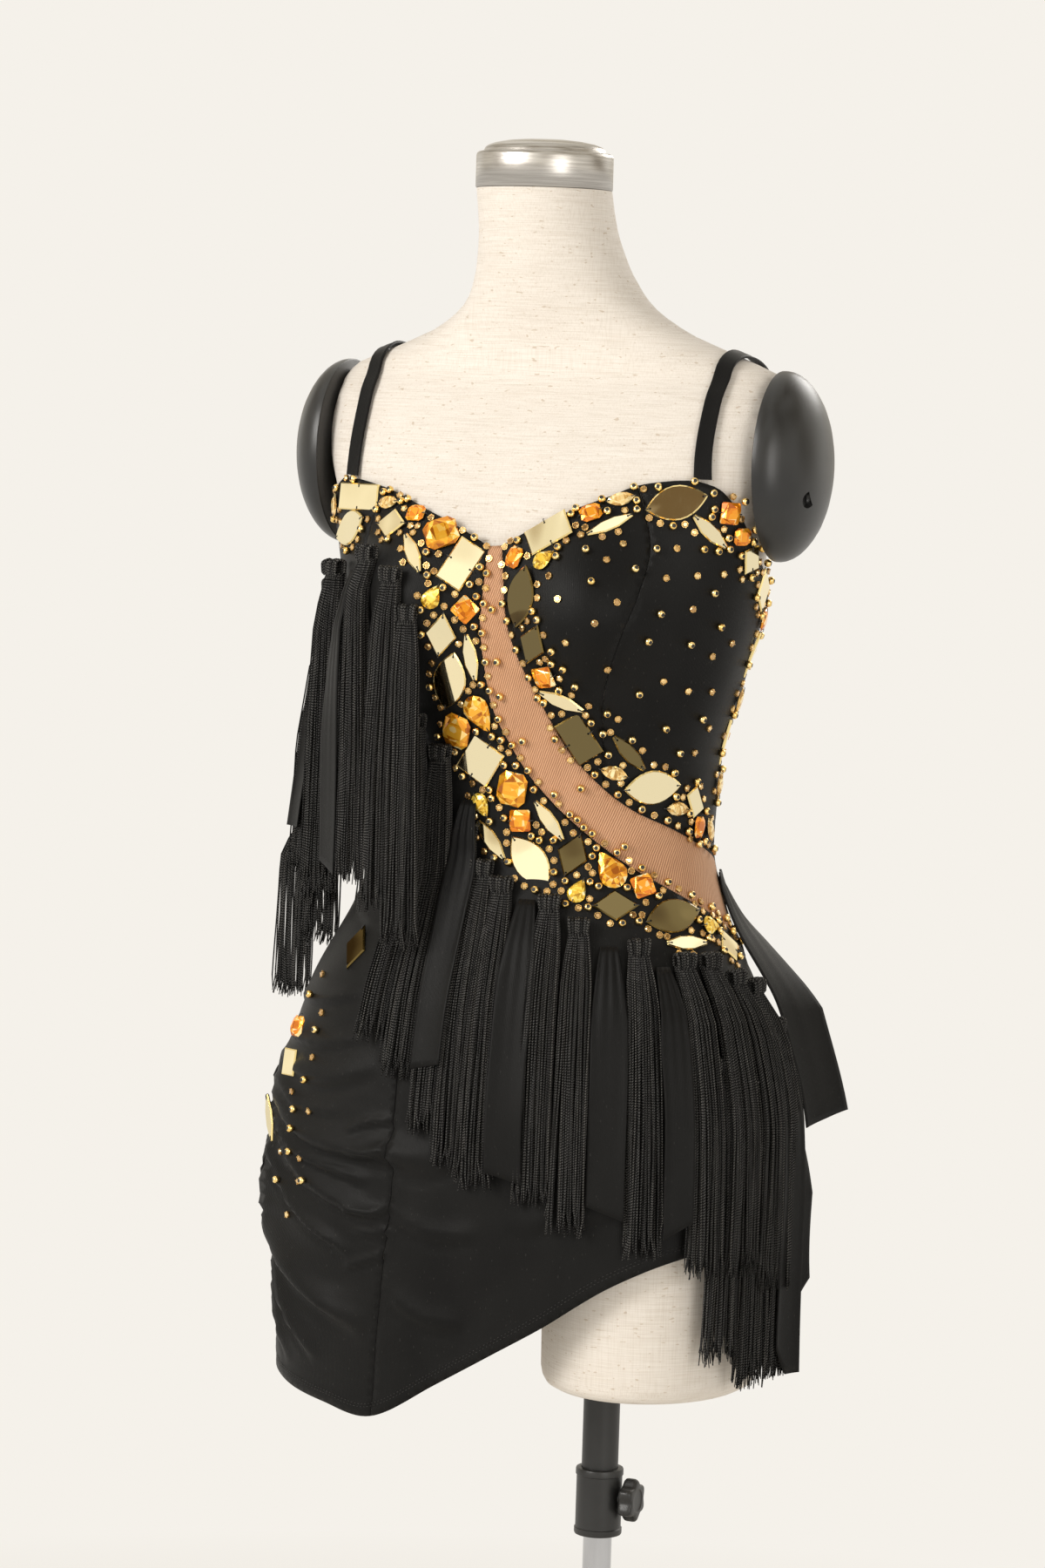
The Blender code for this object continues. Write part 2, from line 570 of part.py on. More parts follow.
def inset(outline, distance):
    """Draw an outline of the plan inwards for the seam gap, and run it anticlockwise."""
    count = len(outline)
    if sum(outline[i - 1].cross(outline[i]) for i in range(count)) < 0:
        outline = outline[::-1]
    drawn = []
    for i in range(count):
        before = (outline[i] - outline[i - 1]).normalized()
        after = (outline[(i + 1) % count] - outline[i]).normalized()
        inward = Vector((-before.y - after.y, before.x + after.x))
        stretch = distance / max(MITRE_LIMIT, inward.length / 2)
        drawn.append(outline[i] + inward.normalized() * stretch)
    return drawn


def inside(outline, point):
    hit = False
    for a, b in zip(outline, outline[1:] + outline[:1]):
        if (a.y > point.y) != (b.y > point.y):
            if point.x < a.x + (point.y - a.y) * (b.x - a.x) / (b.y - a.y):
                hit = not hit
    return hit


def clear_of(point, outlines, distance):
    """Say whether a point keeps its distance from every edge of the outlines."""
    for outline in outlines:
        for a, b in zip(outline, outline[1:] + outline[:1]):
            run = b - a
            share = min(max((point - a).dot(run) / run.length_squared, 0.0), 1.0)
            if (a + run * share - point).length < distance:
                return False
    return True


def cut_outline(kind):
    """Return a cut's outline about its own centre, its length along X."""
    cut = CUTS[kind]
    return [Vector((corner.along * cut.length / 2, corner.across * cut.width / 2)) for corner in cut.shape]


class SetStone:
    """A stone laid on the cloth: its outline in the plan and its raised points."""

    def __init__(self, stone):
        self.cut = CUTS[stone.cut]
        self.corners = cut_outline(stone.cut)
        self.turn = Matrix.Rotation(math.radians(stone.turn), 2)
        self.centre = Vector((stone.angle, stone.height))
        self.seat = on_figure(stone.angle, stone.height, PANEL_OUT)
        round_step = on_figure(stone.angle + 1, stone.height) - on_figure(stone.angle - 1, stone.height)
        up_step = on_figure(stone.angle, stone.height + 2) - on_figure(stone.angle, stone.height - 2)
        self.mm_per_degree = round_step.length / 2
        self.fall = up_step.length / 4
        self.across = round_step.normalized()
        self.up = up_step.normalized()
        self.outward = self.across.cross(self.up).normalized()

    def to_plan(self, local):
        turned_point = self.turn @ local
        return plan((self.centre.x + turned_point.x / self.mm_per_degree,
                     self.centre.y + turned_point.y / self.fall))

    def outline(self, share=1.0):
        return [self.to_plan(corner * share) for corner in self.corners]

    def raised(self, point):
        """Return the point of the stone's face over a point of the plan."""
        local = Vector(((point.x / MM_PER_DEGREE - self.centre.x) * self.mm_per_degree,
                        (point.y - self.centre.y) * self.fall))
        height = self.cut.girdle
        if self.cut.table:
            own = self.turn.transposed() @ local
            share = 0.0
            for a, b in zip(self.corners, self.corners[1:] + self.corners[:1]):
                normal = Vector((b.y - a.y, a.x - b.x))
                share = max(share, normal.dot(own) / normal.dot(a))
            climb = min(max((1 - share) / (1 - TABLE_SHARE), 0.0), 1.0)
            height += (self.cut.table - self.cut.girdle) * climb
        return self.seat + self.across * local.x + self.up * local.y + self.outward * height


def over_bust(point):
    off = abs(abs(point.x) / MM_PER_DEGREE - BUST_ANGLE) / (BUST_GRID_SPREAD * BUST_SPREAD)
    up = (point.y - BUST_HEIGHT) / BUST_ABOVE
    return off * off + up * up < 1.0


def panel_grid(outline, keep_clear):
    """Return the points inside a panel: a staggered grid and both feet of each fold."""
    points = []
    low_x, high_x = min(p.x for p in outline), max(p.x for p in outline)
    low_y, high_y = min(p.y for p in outline), max(p.y for p in outline)
    for _, crest in RIDGES:
        for (point, _), (ahead, _) in zip(crest, crest[1:]):
            side = Vector((point.y - ahead.y, ahead.x - point.x)).normalized()
            for turn in (0, 360):
                for off in (-FOLD_FOOT, 0.0, FOLD_FOOT):
                    points.append(point + side * off + Vector((turn * MM_PER_DEGREE, 0)))
    creases = list(points)
    for spacing, on_bust in ((BUST_GRID, True), (PANEL_GRID, False)):
        rows = math.ceil((high_y - low_y) / spacing)
        columns = math.ceil((high_x - low_x) / spacing) + 1
        for row in range(rows):
            for column in range(columns):
                stagger = 0.5 * (row % 2)
                point = Vector((low_x + (column + stagger) * spacing, low_y + (row + 0.5) * spacing))
                if over_bust(point) != on_bust:
                    continue
                if all((point - crease).length > FOLD_CLEARANCE for crease in creases):
                    points.append(point)
    kept = []
    for point in points:
        if not inside(outline, point) or not clear_of(point, keep_clear, EDGE_CLEARANCE):
            continue
        if all((point - other).length > POINT_SPACING for other in kept):
            kept.append(point)
    return kept


def cloth_panel(name, outline_spots, stones, finish_material):
    """Make one closed wall of cloth, with its stones raised from the outer face."""
    outline = inset([plan(spot) for spot in outline_spots], SEAM_GAP * PANEL_INSET)
    here = []
    for stone in stones:
        laid = SetStone(stone)
        if any(inside(outline, corner) for corner in laid.outline()):
            here.append(laid)
    stone_outlines = [stone.outline() for stone in here]
    points = list(outline)
    faces = [list(range(len(outline)))]
    edges = []
    owners = [None]
    for stone, stone_outline in zip(here, stone_outlines):
        faces.append(list(range(len(points), len(points) + len(stone_outline))))
        owners.append(stone)
        points += stone_outline
        if stone.cut.table:
            table = stone.outline(TABLE_SHARE)
            start = len(points)
            edges += [(start + i, start + (i + 1) % len(table)) for i in range(len(table))]
            points += table
    points += panel_grid(outline, [outline] + stone_outlines)
    flat, _, triangles, _, _, sources = delaunay_2d_cdt(points, edges, faces, 0, 1e-5, True)
    kept = [(triangle, max(source)) for triangle, source in zip(triangles, sources) if 0 in source]

    made = bmesh.new()
    layers = {}

    def corner(index, layer):
        """Return the vertex of a layer: the wall's inside, its outside, or a stone's face."""
        key = (index, layer)
        if key not in layers:
            if layer == "inside":
                place = cloth_point(flat[index], CLOTH_CLEARANCE)
            elif layer == "outside":
                place = cloth_point(flat[index], PANEL_OUT)
            else:
                place = owners[layer].raised(flat[index])
            layers[key] = made.verts.new(place)
        return layers[key]

    sides = {}
    for triangle, owner in kept:
        layer = owner if owner else "outside"
        made.faces.new([corner(i, layer) for i in triangle])
        for a, b in zip(triangle, triangle[1:] + triangle[:1]):
            sides[(a, b)] = layer
    rim = {}
    for (a, b), layer in sides.items():
        facing = sides.get((b, a))
        if facing is None:
            rim[a] = b
            made.faces.new((corner(b, "outside"), corner(a, "outside"), corner(a, "inside"),
                            corner(b, "inside")))
        if layer != "outside" and facing != layer:
            made.faces.new((corner(b, layer), corner(a, layer), corner(a, "outside"),
                            corner(b, "outside")))
    start = next(iter(rim))
    loop = [start]
    while rim[loop[-1]] != start:
        loop.append(rim[loop[-1]])
    lining = [flat[i] for i in loop]
    lining_points = lining + panel_grid(lining, [lining])
    plain, _, triangles, _, _, sources = delaunay_2d_cdt(
        lining_points, [], [list(range(len(loop)))], 0, 1e-5, True)
    own = {}
    for triangle, source in zip(triangles, sources):
        if 0 not in source:
            continue
        vertices = []
        for i in triangle:
            if i not in own:
                own[i] = corner(loop[i], "inside") if i < len(loop) else \
                    made.verts.new(cloth_point(plain[i], CLOTH_CLEARANCE))
            vertices.append(own[i])
        made.faces.new(vertices[::-1])
    return finish(name, made, finish_material)


def nearest(points, spot):
    """Return the number of the point of an edge at which a seam starts."""
    return min(range(len(points)), key=lambda k: abs(points[k].angle - spot.angle))


def dress_panels(knit, mesh):
    neck_left, neck_right = edge(LEFT_NECKLINE), edge(RIGHT_NECKLINE)
    split_left = nearest(neck_left, CUP_SEAM[0])
    split_right = nearest(neck_right, RIGHT_PRINCESS_SEAM[0])
    upper, lower = edge(INSET_UPPER_EDGE), edge(INSET_LOWER_EDGE)
    split_upper = nearest(upper, CUP_SEAM[-1])
    hem = edge(HEM)
    split_hem = nearest(hem, RIGHT_PRINCESS_SEAM[-1])
    cup_seam, princess = edge(CUP_SEAM), edge(RIGHT_PRINCESS_SEAM)
    side_right = edge(RIGHT_SIDE_SEAM)
    side_upper, side_lower = edge(LEFT_SIDE_SEAM_UPPER), edge(LEFT_SIDE_SEAM_LOWER)
    side_inset = edge(LEFT_SIDE_SEAM_INSET)
    stones = RIGHT_BAND + SKIRT_STONES

    panels = [cloth_panel("left_cup_front", join(
        neck_left[:split_left + 1], cup_seam, backwards(upper[:split_upper + 1])), LEFT_BAND, knit)]
    panels.append(cloth_panel("left_cup_side", join(
        neck_left[split_left:], edge(LEFT_ARMHOLE), side_upper, backwards(upper[split_upper:]),
        backwards(cup_seam)), LEFT_BAND, knit))
    panels.append(cloth_panel("mesh_inset", join(
        upper, side_inset, backwards(lower), [lower[0], upper[0]]), (), mesh))
    panels.append(cloth_panel("front_main", join(
        backwards(neck_right[:split_right + 1]), lower, side_lower, backwards(hem[split_hem:]),
        backwards(princess)), stones, knit))
    panels.append(cloth_panel("right_side_front", join(
        neck_right[split_right:], edge(RIGHT_ARMHOLE), side_right, hem[:split_hem + 1],
        backwards(princess)), stones, knit))
    panels.append(cloth_panel("back", join(
        edge(BACK_NECKLINE), round_the_back(side_right), backwards(edge(BACK_HEM)),
        backwards(side_lower), backwards(side_inset), backwards(side_upper)), (), knit))
    return panels


# ---------------------------------------------------------------- straps
FIGURE_REACH = 260.0       # from the axis, beyond all of the figure
RAY_PRECISION = 0.01


def figure_from(inner, direction):
    """Return where a ray from inside the figure leaves it."""
    near, far = 0.0, FIGURE_REACH
    while far - near > RAY_PRECISION:
        middle = (near + far) / 2
        point = inner + direction * middle
        off = Vector((point.x, point.y - figure_at(point.z)[3]))
        angle = math.degrees(math.atan2(off.x, -off.y))
        if off.length < radius(angle, point.z):
            near = middle
        else:
            far = middle
    return inner + direction * near


def strap(name, side, front_end, back_end, finish_material):
    """Lay a flat strap over the shoulder, from the front neckline to the back one."""
    hub = STRAP_HUB
    ends = [on_figure(*front_end), on_figure(*back_end)]
    turns = [math.atan2(end.z - hub.z, end.y - hub.y) for end in ends]
    turns[0] += math.tau if turns[0] < 0 else 0
    rails = []
    for i in range(STRAP_STEPS + 1):
        share = i / STRAP_STEPS
        turn = turns[0] + (turns[1] - turns[0]) * share
        lift = math.sin(math.pi * share) ** STRAP_ROUNDNESS
        end_x = ends[0].x + (ends[1].x - ends[0].x) * share
        x = end_x + (side * STRAP_HALF_SPACING - end_x) * lift
        ray = Vector((0, math.cos(turn), math.sin(turn)))
        starts = [Vector((x + wide * STRAP_WIDTH / 2, hub.y, hub.z)) for wide in (-1, 1)]
        rails.append([figure_from(start, ray) for start in starts])
    rings = []
    for i, (inner, outer) in enumerate(rails):
        along = (rails[min(i + 1, STRAP_STEPS)][0] - rails[max(i - 1, 0)][0]).normalized()
        outward = along.cross(outer - inner).normalized()
        if outward.dot(inner - hub) < 0:
            outward = -outward
        near, far = outward * STRAP_CLEARANCE, outward * (STRAP_CLEARANCE + STRAP_WALL)
        rings.append([inner + near, outer + near, outer + far, inner + far])
    return finish(name, loft(rings), finish_material)


# ---------------------------------------------------------------- fringe and strips
SECTION_STEP = 10.0        # between the heights at which the figure's outline is kept
SECTION_SIDES = 72
sections = {}


def section(height):
    """Return the figure's outline at a height, between two that are kept for the next time."""
    level = math.floor(height / SECTION_STEP)
    for near in (level, level + 1):
        if near not in sections:
            ring = [on_figure(360 * i / SECTION_SIDES, near * SECTION_STEP) for i in range(SECTION_SIDES)]
            sections[near] = [point.xy for point in ring]
    share = height / SECTION_STEP - level
    return [low.lerp(high, share) for low, high in zip(sections[level], sections[level + 1])]


def surface_of(pieces):
    """Return one tree of all the pieces' faces, in millimetres, for seating others on them."""
    corners, faces = [], []
    for piece in pieces:
        first = len(corners)
        corners += [vertex.co / MM for vertex in piece.data.vertices]
        faces += [[first + i for i in face.vertices] for face in piece.data.polygons]
    return BVHTree.FromPolygons(corners, faces)


def seated(points, outward, surface):
    """Return how far to move points along the way out, to bring them down onto a surface."""
    drops = []
    for point in points:
        _, _, _, distance = surface.ray_cast(point + outward * SEAT_REACH, -outward, SEAT_REACH * 2)
        if distance is not None:
            drops.append(distance - SEAT_REACH)
    return SEAT_GAP - min(drops)


class Hook:
    """Where something hangs: the way out from the cloth there, and the way along it."""

    def __init__(self, angle, height):
        self.height = height
        place = on_figure(angle, height)
        along = (on_figure(angle + 1, height) - on_figure(angle - 1, height)).xy.normalized()
        self.across = Vector((along.x, along.y, 0))
        self.outward = Vector((along.y, -along.x, 0))
        self.side = place.dot(self.across)

    def reach(self, side, height):
        """Return how far the figure reaches outwards, a distance to the side of the hook."""
        outward, across = self.outward.xy, self.across.xy
        target = self.side + side
        best = -1000.0
        ring = section(height)
        for a, b in zip(ring, ring[1:] + ring[:1]):
            off_a, off_b = a.dot(across) - target, b.dot(across) - target
            if off_a * off_b <= 0 and off_a != off_b:
                point = a.lerp(b, off_a / (off_a - off_b))
                best = max(best, point.dot(outward))
        return best

    def hung(self, side, height, out):
        """Return a point straight below the hook, pushed out by all that it passes."""
        steps = max(1, math.ceil((self.height - height) / SECTION_STEP))
        levels = [self.height + (height - self.height) * i / steps for i in range(steps + 1)]
        reach = max(self.reach(side, level) for level in levels) + out
        place = self.outward * reach + self.across * (self.side + side)
        return Vector((place.x, place.y, height))


def bends(path):
    """Return the numbers of the points that a path needs to keep its shape."""
    kept = [0]
    while kept[-1] < len(path) - 1:
        start = kept[-1]
        end = len(path) - 1
        while end > start + 1:
            run = path[end] - path[start]
            offs = [path[k] - path[start] - run * ((k - start) / (end - start)) for k in range(start, end)]
            if max(off.length for off in offs) < LOCK_BEND:
                break
            end -= 1
        kept.append(end)
    return kept[1:]


def tassel(row, cloth, finish_material):
    """Make a bound head with its locks growing from its underside."""
    made = bmesh.new()
    hook = Hook(row.angle, row.height)
    foot = row.height - HEAD_TALL
    cell_wide, cell_deep = HEAD_WIDTH / LOCK_COLUMNS, HEAD_DEPTH / LOCK_ROWS
    centre = hook.hung(0, foot, PANEL_OUT)
    back = [centre + hook.across * (column * cell_wide - HEAD_WIDTH / 2) + Vector((0, 0, tall))
            for column in range(LOCK_COLUMNS + 1) for tall in (0, HEAD_TALL / 2, HEAD_TALL)]
    centre += hook.outward * seated(back, hook.outward, cloth)
    grid = {}
    for column in range(LOCK_COLUMNS + 1):
        for deep in range(LOCK_ROWS + 1):
            place = centre + hook.across * (column * cell_wide - HEAD_WIDTH / 2)
            grid[column, deep] = made.verts.new(place + hook.outward * deep * cell_deep)
    rim = [grid[i, 0] for i in range(LOCK_COLUMNS)]
    rim += [grid[LOCK_COLUMNS, j] for j in range(LOCK_ROWS)]
    rim += [grid[i, LOCK_ROWS] for i in range(LOCK_COLUMNS, 0, -1)]
    rim += [grid[0, j] for j in range(LOCK_ROWS, 0, -1)]
    top = [made.verts.new(vertex.co + Vector((0, 0, HEAD_TALL))) for vertex in rim]
    for i in range(len(rim)):
        j = (i + 1) % len(rim)
        made.faces.new((rim[i], rim[j], top[j], top[i]))
    made.faces.new(top)

    for column in range(LOCK_COLUMNS):
        for deep in range(LOCK_ROWS):
            cell = [grid[column, deep], grid[column + 1, deep], grid[column + 1, deep + 1],
                    grid[column, deep + 1]]
            lock(made, hook, row, cell, (column + 0.5) * cell_wide - HEAD_WIDTH / 2, deep)
    return finish(row.name, made, finish_material)


def lock(made, hook, row, cell, side, deep):
    """Grow one three-sided lock from a cell of the head's underside."""
    point_out = 1 if deep else -1
    ring = []
    for turn in (90, 210, 330):
        t = math.radians(turn)
        ring.append(hook.across * math.cos(t) * LOCK_SIZE / 2
                    + hook.outward * point_out * math.sin(t) * LOCK_SIZE / 2)
    middle = sum((vertex.co for vertex in cell), Vector()) / 4
    loop = [made.verts.new(middle + corner) for corner in ring]
    if deep:
        around = ((cell[0], cell[1], loop[2], loop[1]), (cell[1], cell[2], loop[0], loop[2]),
                  (cell[2], cell[3], loop[0]), (cell[3], cell[0], loop[1], loop[0]))
    else:
        around = ((cell[0], cell[1], loop[0]), (cell[1], cell[2], loop[2], loop[0]),
                  (cell[2], cell[3], loop[1], loop[2]), (cell[3], cell[0], loop[0], loop[1]))
    for face in around:
        made.faces.new(face)
    foot = row.height - HEAD_TALL
    path = [middle]
    for step in range(1, LOCK_STEPS + 1):
        share = step / LOCK_STEPS
        spread = side * (1 + (LOCK_SPREAD - 1) * share)
        out = LAYER_OUT[row.layer] + deep * LOCK_ROW_STEP
        path.append(hook.hung(spread, foot - row.length * share, out))
    for step in bends(path):
        lower = [made.verts.new(path[step] + corner) for corner in ring]
        for i in range(3):
            j = (i + 1) % 3
            made.faces.new((loop[i], loop[j], lower[j], lower[i]))
        loop = lower
    made.faces.new(loop)


def strip(row, surface, finish_material):
    """Make a flat hanging strip of knit with a cut end."""
    columns, rows = STRIP_COLUMNS, len(STRIP_SHARES) - 1
    made = bmesh.new()
    hook = Hook(row.angle, row.height)
    bed = [hook.hung(row.width * STRIP_TOP * (column / columns - 0.5), row.height - drop, PANEL_OUT)
           for column in range(columns + 1) for drop in STRIP_BED]
    root_out = PANEL_OUT + seated(bed, hook.outward, surface)
    walls = []
    for depth in (0, STRIP_WALL):
        wall = {}
        for i in range(rows + 1):
            share = STRIP_SHARES[i]
            narrowing = STRIP_TOP + (1 - STRIP_TOP) * min(1.0, share * STRIP_WIDENING)
            lift = min(1.0, share / STRIP_SHARES[1])
            out = root_out * (1 - lift) + row.out * lift + depth
            for j in range(columns + 1):
                side = (j / columns - 0.5) * row.width * narrowing
                height = row.height - row.length * share * (1.0 - STRIP_RAGGED * (j % 2))
                wall[i, j] = made.verts.new(hook.hung(side, height, out))
        walls.append(wall)
    inner, outer = walls
    for i in range(rows):
        for j in range(columns):
            quad = ((i, j), (i, j + 1), (i + 1, j + 1), (i + 1, j))
            made.faces.new([outer[key] for key in quad])
            made.faces.new([inner[key] for key in reversed(quad)])
    rim = [(0, j) for j in range(columns)] + [(i, columns) for i in range(rows)]
    rim += [(rows, j) for j in range(columns, 0, -1)] + [(i, 0) for i in range(rows, 0, -1)]
    for a, b in zip(rim, rim[1:] + rim[:1]):
        made.faces.new((inner[a], inner[b], outer[b], outer[a]))
    return finish(row.name, made, finish_material)


# ---------------------------------------------------------------- dress form
def form_torso(linen):
    """Loft the torso, add the two short thighs and bore the socket for the tube."""
    angles = [360 * i / TORSO_COLUMNS for i in range(TORSO_COLUMNS)]
    rings = []
    for foot in TORSO_FOOT:
        ring = []
        for angle in angles:
            side, ahead = math.sin(math.radians(angle)), math.cos(math.radians(angle))
            depth = foot.front if ahead > 0 else foot.back
            square = TORSO_FOOT_SQUARENESS
            r = (abs(side / foot.half_width) ** square + abs(ahead / depth) ** square) ** (-1 / square)
            ring.append((r * side, foot.centre_y - r * ahead, foot.height))
        rings.append(ring)
    for height in TORSO_HEIGHTS + (NECK_TOP,):
        ease = FORM_EASE * min(max((EASE_FROM - height) / (EASE_FROM - EASE_FULL), 0.0), 1.0)
        ring = []
        for angle in angles:
            point = on_figure(angle, height, -ease)
            if height > ARM_CUT_FROM:
                point.x = min(max(point.x, -SHOULDER_CUT), SHOULDER_CUT)
            ring.append(point)
        rings.append(ring)
    torso = finish("torso", loft(rings), linen, SOFT_EDGE)
    for side in (-1, 1):
        rings = []
        for row in THIGH_RINGS:
            turns = [math.tau * (i + 0.5) / THIGH_SIDES for i in range(THIGH_SIDES)]
            rings.append([(side * THIGH_X + row.half_width * math.cos(t),
                           THIGH_Y + row.half_depth * math.sin(t), row.height) for t in turns])
        combine(torso, finish("thigh", loft(rings), linen), "UNION")
    profile = ((SOCKET_RADIUS, 0), (SOCKET_RADIUS, SOCKET_TOP - SOCKET_FOOT))
    socket = finish("socket", turned(profile, POST_X, POST_Y, SOCKET_FOOT, STAND_SIDES), linen)
    combine(torso, socket, "DIFFERENCE")
    torso.data.shade_smooth()
    torso.data.set_sharp_from_angle(angle=math.radians(SOFT_EDGE))
    return torso


def arm_disc(name, side, satin):
    rings = []
    for row in ARM_DISC_RINGS:
        turns = [math.tau * i / STAND_SIDES for i in range(STAND_SIDES)]
        rings.append([(side * (SHOULDER_CUT + SEAM_GAP + row.out),
                       ARM_DISC_Y + ARM_DISC_HALF_DEPTH * row.share * math.cos(t),
                       ARM_DISC_Z + ARM_DISC_HALF_HEIGHT * row.share * math.sin(t)) for t in turns])
    return finish(name, loft(rings), satin, SOFT_EDGE)


def neck_cap(steel):
    foot = NECK_TOP + SEAM_GAP
    return finish("neck_cap", turned(CAP_PROFILE, 0, CAP_Y, foot, STAND_SIDES), steel, HARD_EDGE)


# ---------------------------------------------------------------- stand
def tube(name, outer, bore, foot, top, cap, finish_material):
    """Make an upright tube about the post's axis, closed at the top by its cap."""
    profile = [(bore, 0), (outer, 0), (outer, top - foot), (bore, top - foot)]
    made = bmesh.new()
    loops = []
    for ring_radius, height in profile:
        loops.append([made.verts.new((POST_X + ring_radius * math.cos(math.tau * i / STAND_SIDES),
                                      POST_Y + ring_radius * math.sin(math.tau * i / STAND_SIDES),
                                      foot + height)) for i in range(STAND_SIDES)])
    pairs = list(zip(loops, loops[1:] + loops[:1]))
    if cap:
        inner_top = [made.verts.new(vertex.co - Vector((0, 0, cap))) for vertex in loops[3]]
        made.faces.new(inner_top)
        pairs = [(loops[0], loops[1]), (loops[1], loops[2]), (inner_top, loops[0])]
        made.faces.new(loops[2])
        for vertex in loops[3]:
            made.verts.remove(vertex)
    for lower, upper in pairs:
        for i in range(STAND_SIDES):
            j = (i + 1) % STAND_SIDES
            made.faces.new((lower[i], lower[j], upper[j], upper[i]))
    return finish(name, made, finish_material, HARD_EDGE)


def clamp_collar(black):
    """The clamp's barrel, stepped inside to carry the tube's end, bored for the knob's stem."""
    tall = COLLAR_TOP - COLLAR_FOOT
    step = TUBE_FOOT - COLLAR_FOOT - SEAM_GAP
    profile = ((TUBE_BORE, 0), (COLLAR_RADIUS - COLLAR_EDGE, 0), (COLLAR_RADIUS, COLLAR_EDGE_TALL),
               (COLLAR_RADIUS, tall - COLLAR_EDGE_TALL), (COLLAR_RADIUS - COLLAR_EDGE, tall),
               (TUBE_RADIUS + SEAM_GAP, tall), (TUBE_RADIUS + SEAM_GAP, step), (TUBE_BORE, step))
    made = bmesh.new()
    loops = []
    for ring_radius, height in profile:
        loops.append([made.verts.new((POST_X + ring_radius * math.cos(math.tau * i / STAND_SIDES),
                                      POST_Y + ring_radius * math.sin(math.tau * i / STAND_SIDES),
                                      COLLAR_FOOT + height)) for i in range(STAND_SIDES)])
    for lower, upper in zip(loops, loops[1:] + loops[:1]):
        for i in range(STAND_SIDES):
            j = (i + 1) % STAND_SIDES
            made.faces.new((lower[i], lower[j], upper[j], upper[i]))
    collar = finish("clamp_collar", made, black, HARD_EDGE)
    bore = KNOB_STEM_RADIUS + STEM_CLEARANCE
    hole = turned(((bore, 0), (bore, STEM_HOLE_DEPTH)), 0, 0, TUBE_RADIUS - 2, STEM_HOLE_SIDES)
    cutter = finish("stem_hole", hole, black)
    cutter.data.transform(Matrix.Rotation(math.radians(90), 4, "Y"))
    cutter.data.transform(Matrix.Translation(Vector((POST_X, POST_Y, KNOB_HEIGHT)) * MM))
    combine(collar, cutter, "DIFFERENCE")
    return collar


def clamp_knob(black):
    """A star knob on its threaded stem, along +X."""
    stem_from = TUBE_RADIUS + SEAM_GAP
    knob_from = COLLAR_RADIUS + 1.0
    turns = [math.tau * i / (KNOB_LOBES * 3) for i in range(KNOB_LOBES * 3)]
    rings = []
    for along in (stem_from, knob_from - SEAM_GAP):
        rings.append([(POST_X + along, POST_Y + KNOB_STEM_RADIUS * math.cos(t),
                       KNOB_HEIGHT + KNOB_STEM_RADIUS * math.sin(t)) for t in turns])
    for row in KNOB_PROFILE:
        ring = []
        for t in turns:
            r = KNOB_RADIUS * row.share * (1 - LOBE_DEPTH + LOBE_DEPTH * math.cos(KNOB_LOBES * t))
            ring.append((POST_X + knob_from + row.along, POST_Y + r * math.cos(t),
                         KNOB_HEIGHT + r * math.sin(t)))
        rings.append(ring)
    return finish("clamp_knob", loft(rings), black, HARD_EDGE)


def stand_base(black):
    base = finish("base", turned(BASE_PROFILE, POST_X, POST_Y, 0, BASE_SIDES), black, HARD_EDGE)
    bore = ((POST_RADIUS + SEAM_GAP, 0), (POST_RADIUS + SEAM_GAP, BASE_SOCKET_TOP))
    socket = finish("socket", turned(bore, POST_X, POST_Y, BASE_RIM, STAND_SIDES), black)
    combine(base, socket, "DIFFERENCE")


def pivot(name, x, y, z, pieces):
    """Hang moving pieces from an empty on their joint's axis."""
    axis = bpy.data.objects.new(name, None)
    axis.location = Vector((x, y, z)) * MM
    bpy.context.collection.objects.link(axis)
    for piece in pieces:
        piece.parent = axis
        piece.matrix_parent_inverse = Matrix.Translation(-axis.location)


def main():
    for old in list(bpy.data.objects):
        bpy.data.objects.remove(old)
    knit = material("black_stretch_knit", (0.018, 0.017, 0.016), 0.75)
    nude = material("nude_mesh", (0.55, 0.31, 0.19), 0.7)
    rayon = material("black_rayon_fringe", (0.010, 0.010, 0.010), 0.5)
    linen = material("natural_linen", (0.80, 0.75, 0.66), 0.9)
    satin = material("satin_black_plastic", (0.012, 0.012, 0.012), 0.45)
    steel = material("brushed_steel", (0.62, 0.60, 0.57), 0.32, 1.0)
    chrome = material("chromed_steel", (0.80, 0.80, 0.80), 0.08, 1.0)

    stand_base(satin)
    tube("post", POST_RADIUS, POST_RADIUS - POST_WALL, BASE_RIM + SEAM_GAP, POST_TOP, 0, chrome)
    mast = [tube("mast_tube", TUBE_RADIUS, TUBE_BORE, TUBE_FOOT, TUBE_TOP, TUBE_CAP, satin),
            clamp_collar(satin)]
    knob = clamp_knob(satin)

    form = [form_torso(linen), neck_cap(steel), arm_disc("arm_disc_left", 1, satin),
            arm_disc("arm_disc_right", -1, satin)]
    panels = dress_panels(knit, nude)
    straps = [strap("strap_left", 1, *LEFT_STRAP_ENDS, knit),
              strap("strap_right", -1, *RIGHT_STRAP_ENDS, knit)]
    cloth = surface_of(panels)
    tassels = [tassel(row, cloth, rayon) for row in TASSELS]
    covered = surface_of(panels + tassels)
    strips = [strip(row, covered, knit) for row in STRIPS]

    pivot("mast_axis", POST_X, POST_Y, TUBE_FOOT, mast)
    pivot("knob_axis", POST_X, POST_Y, KNOB_HEIGHT, [knob])
    pivot("form_axis", POST_X, POST_Y, TUBE_TOP, form + panels + straps + tassels + strips)


main()
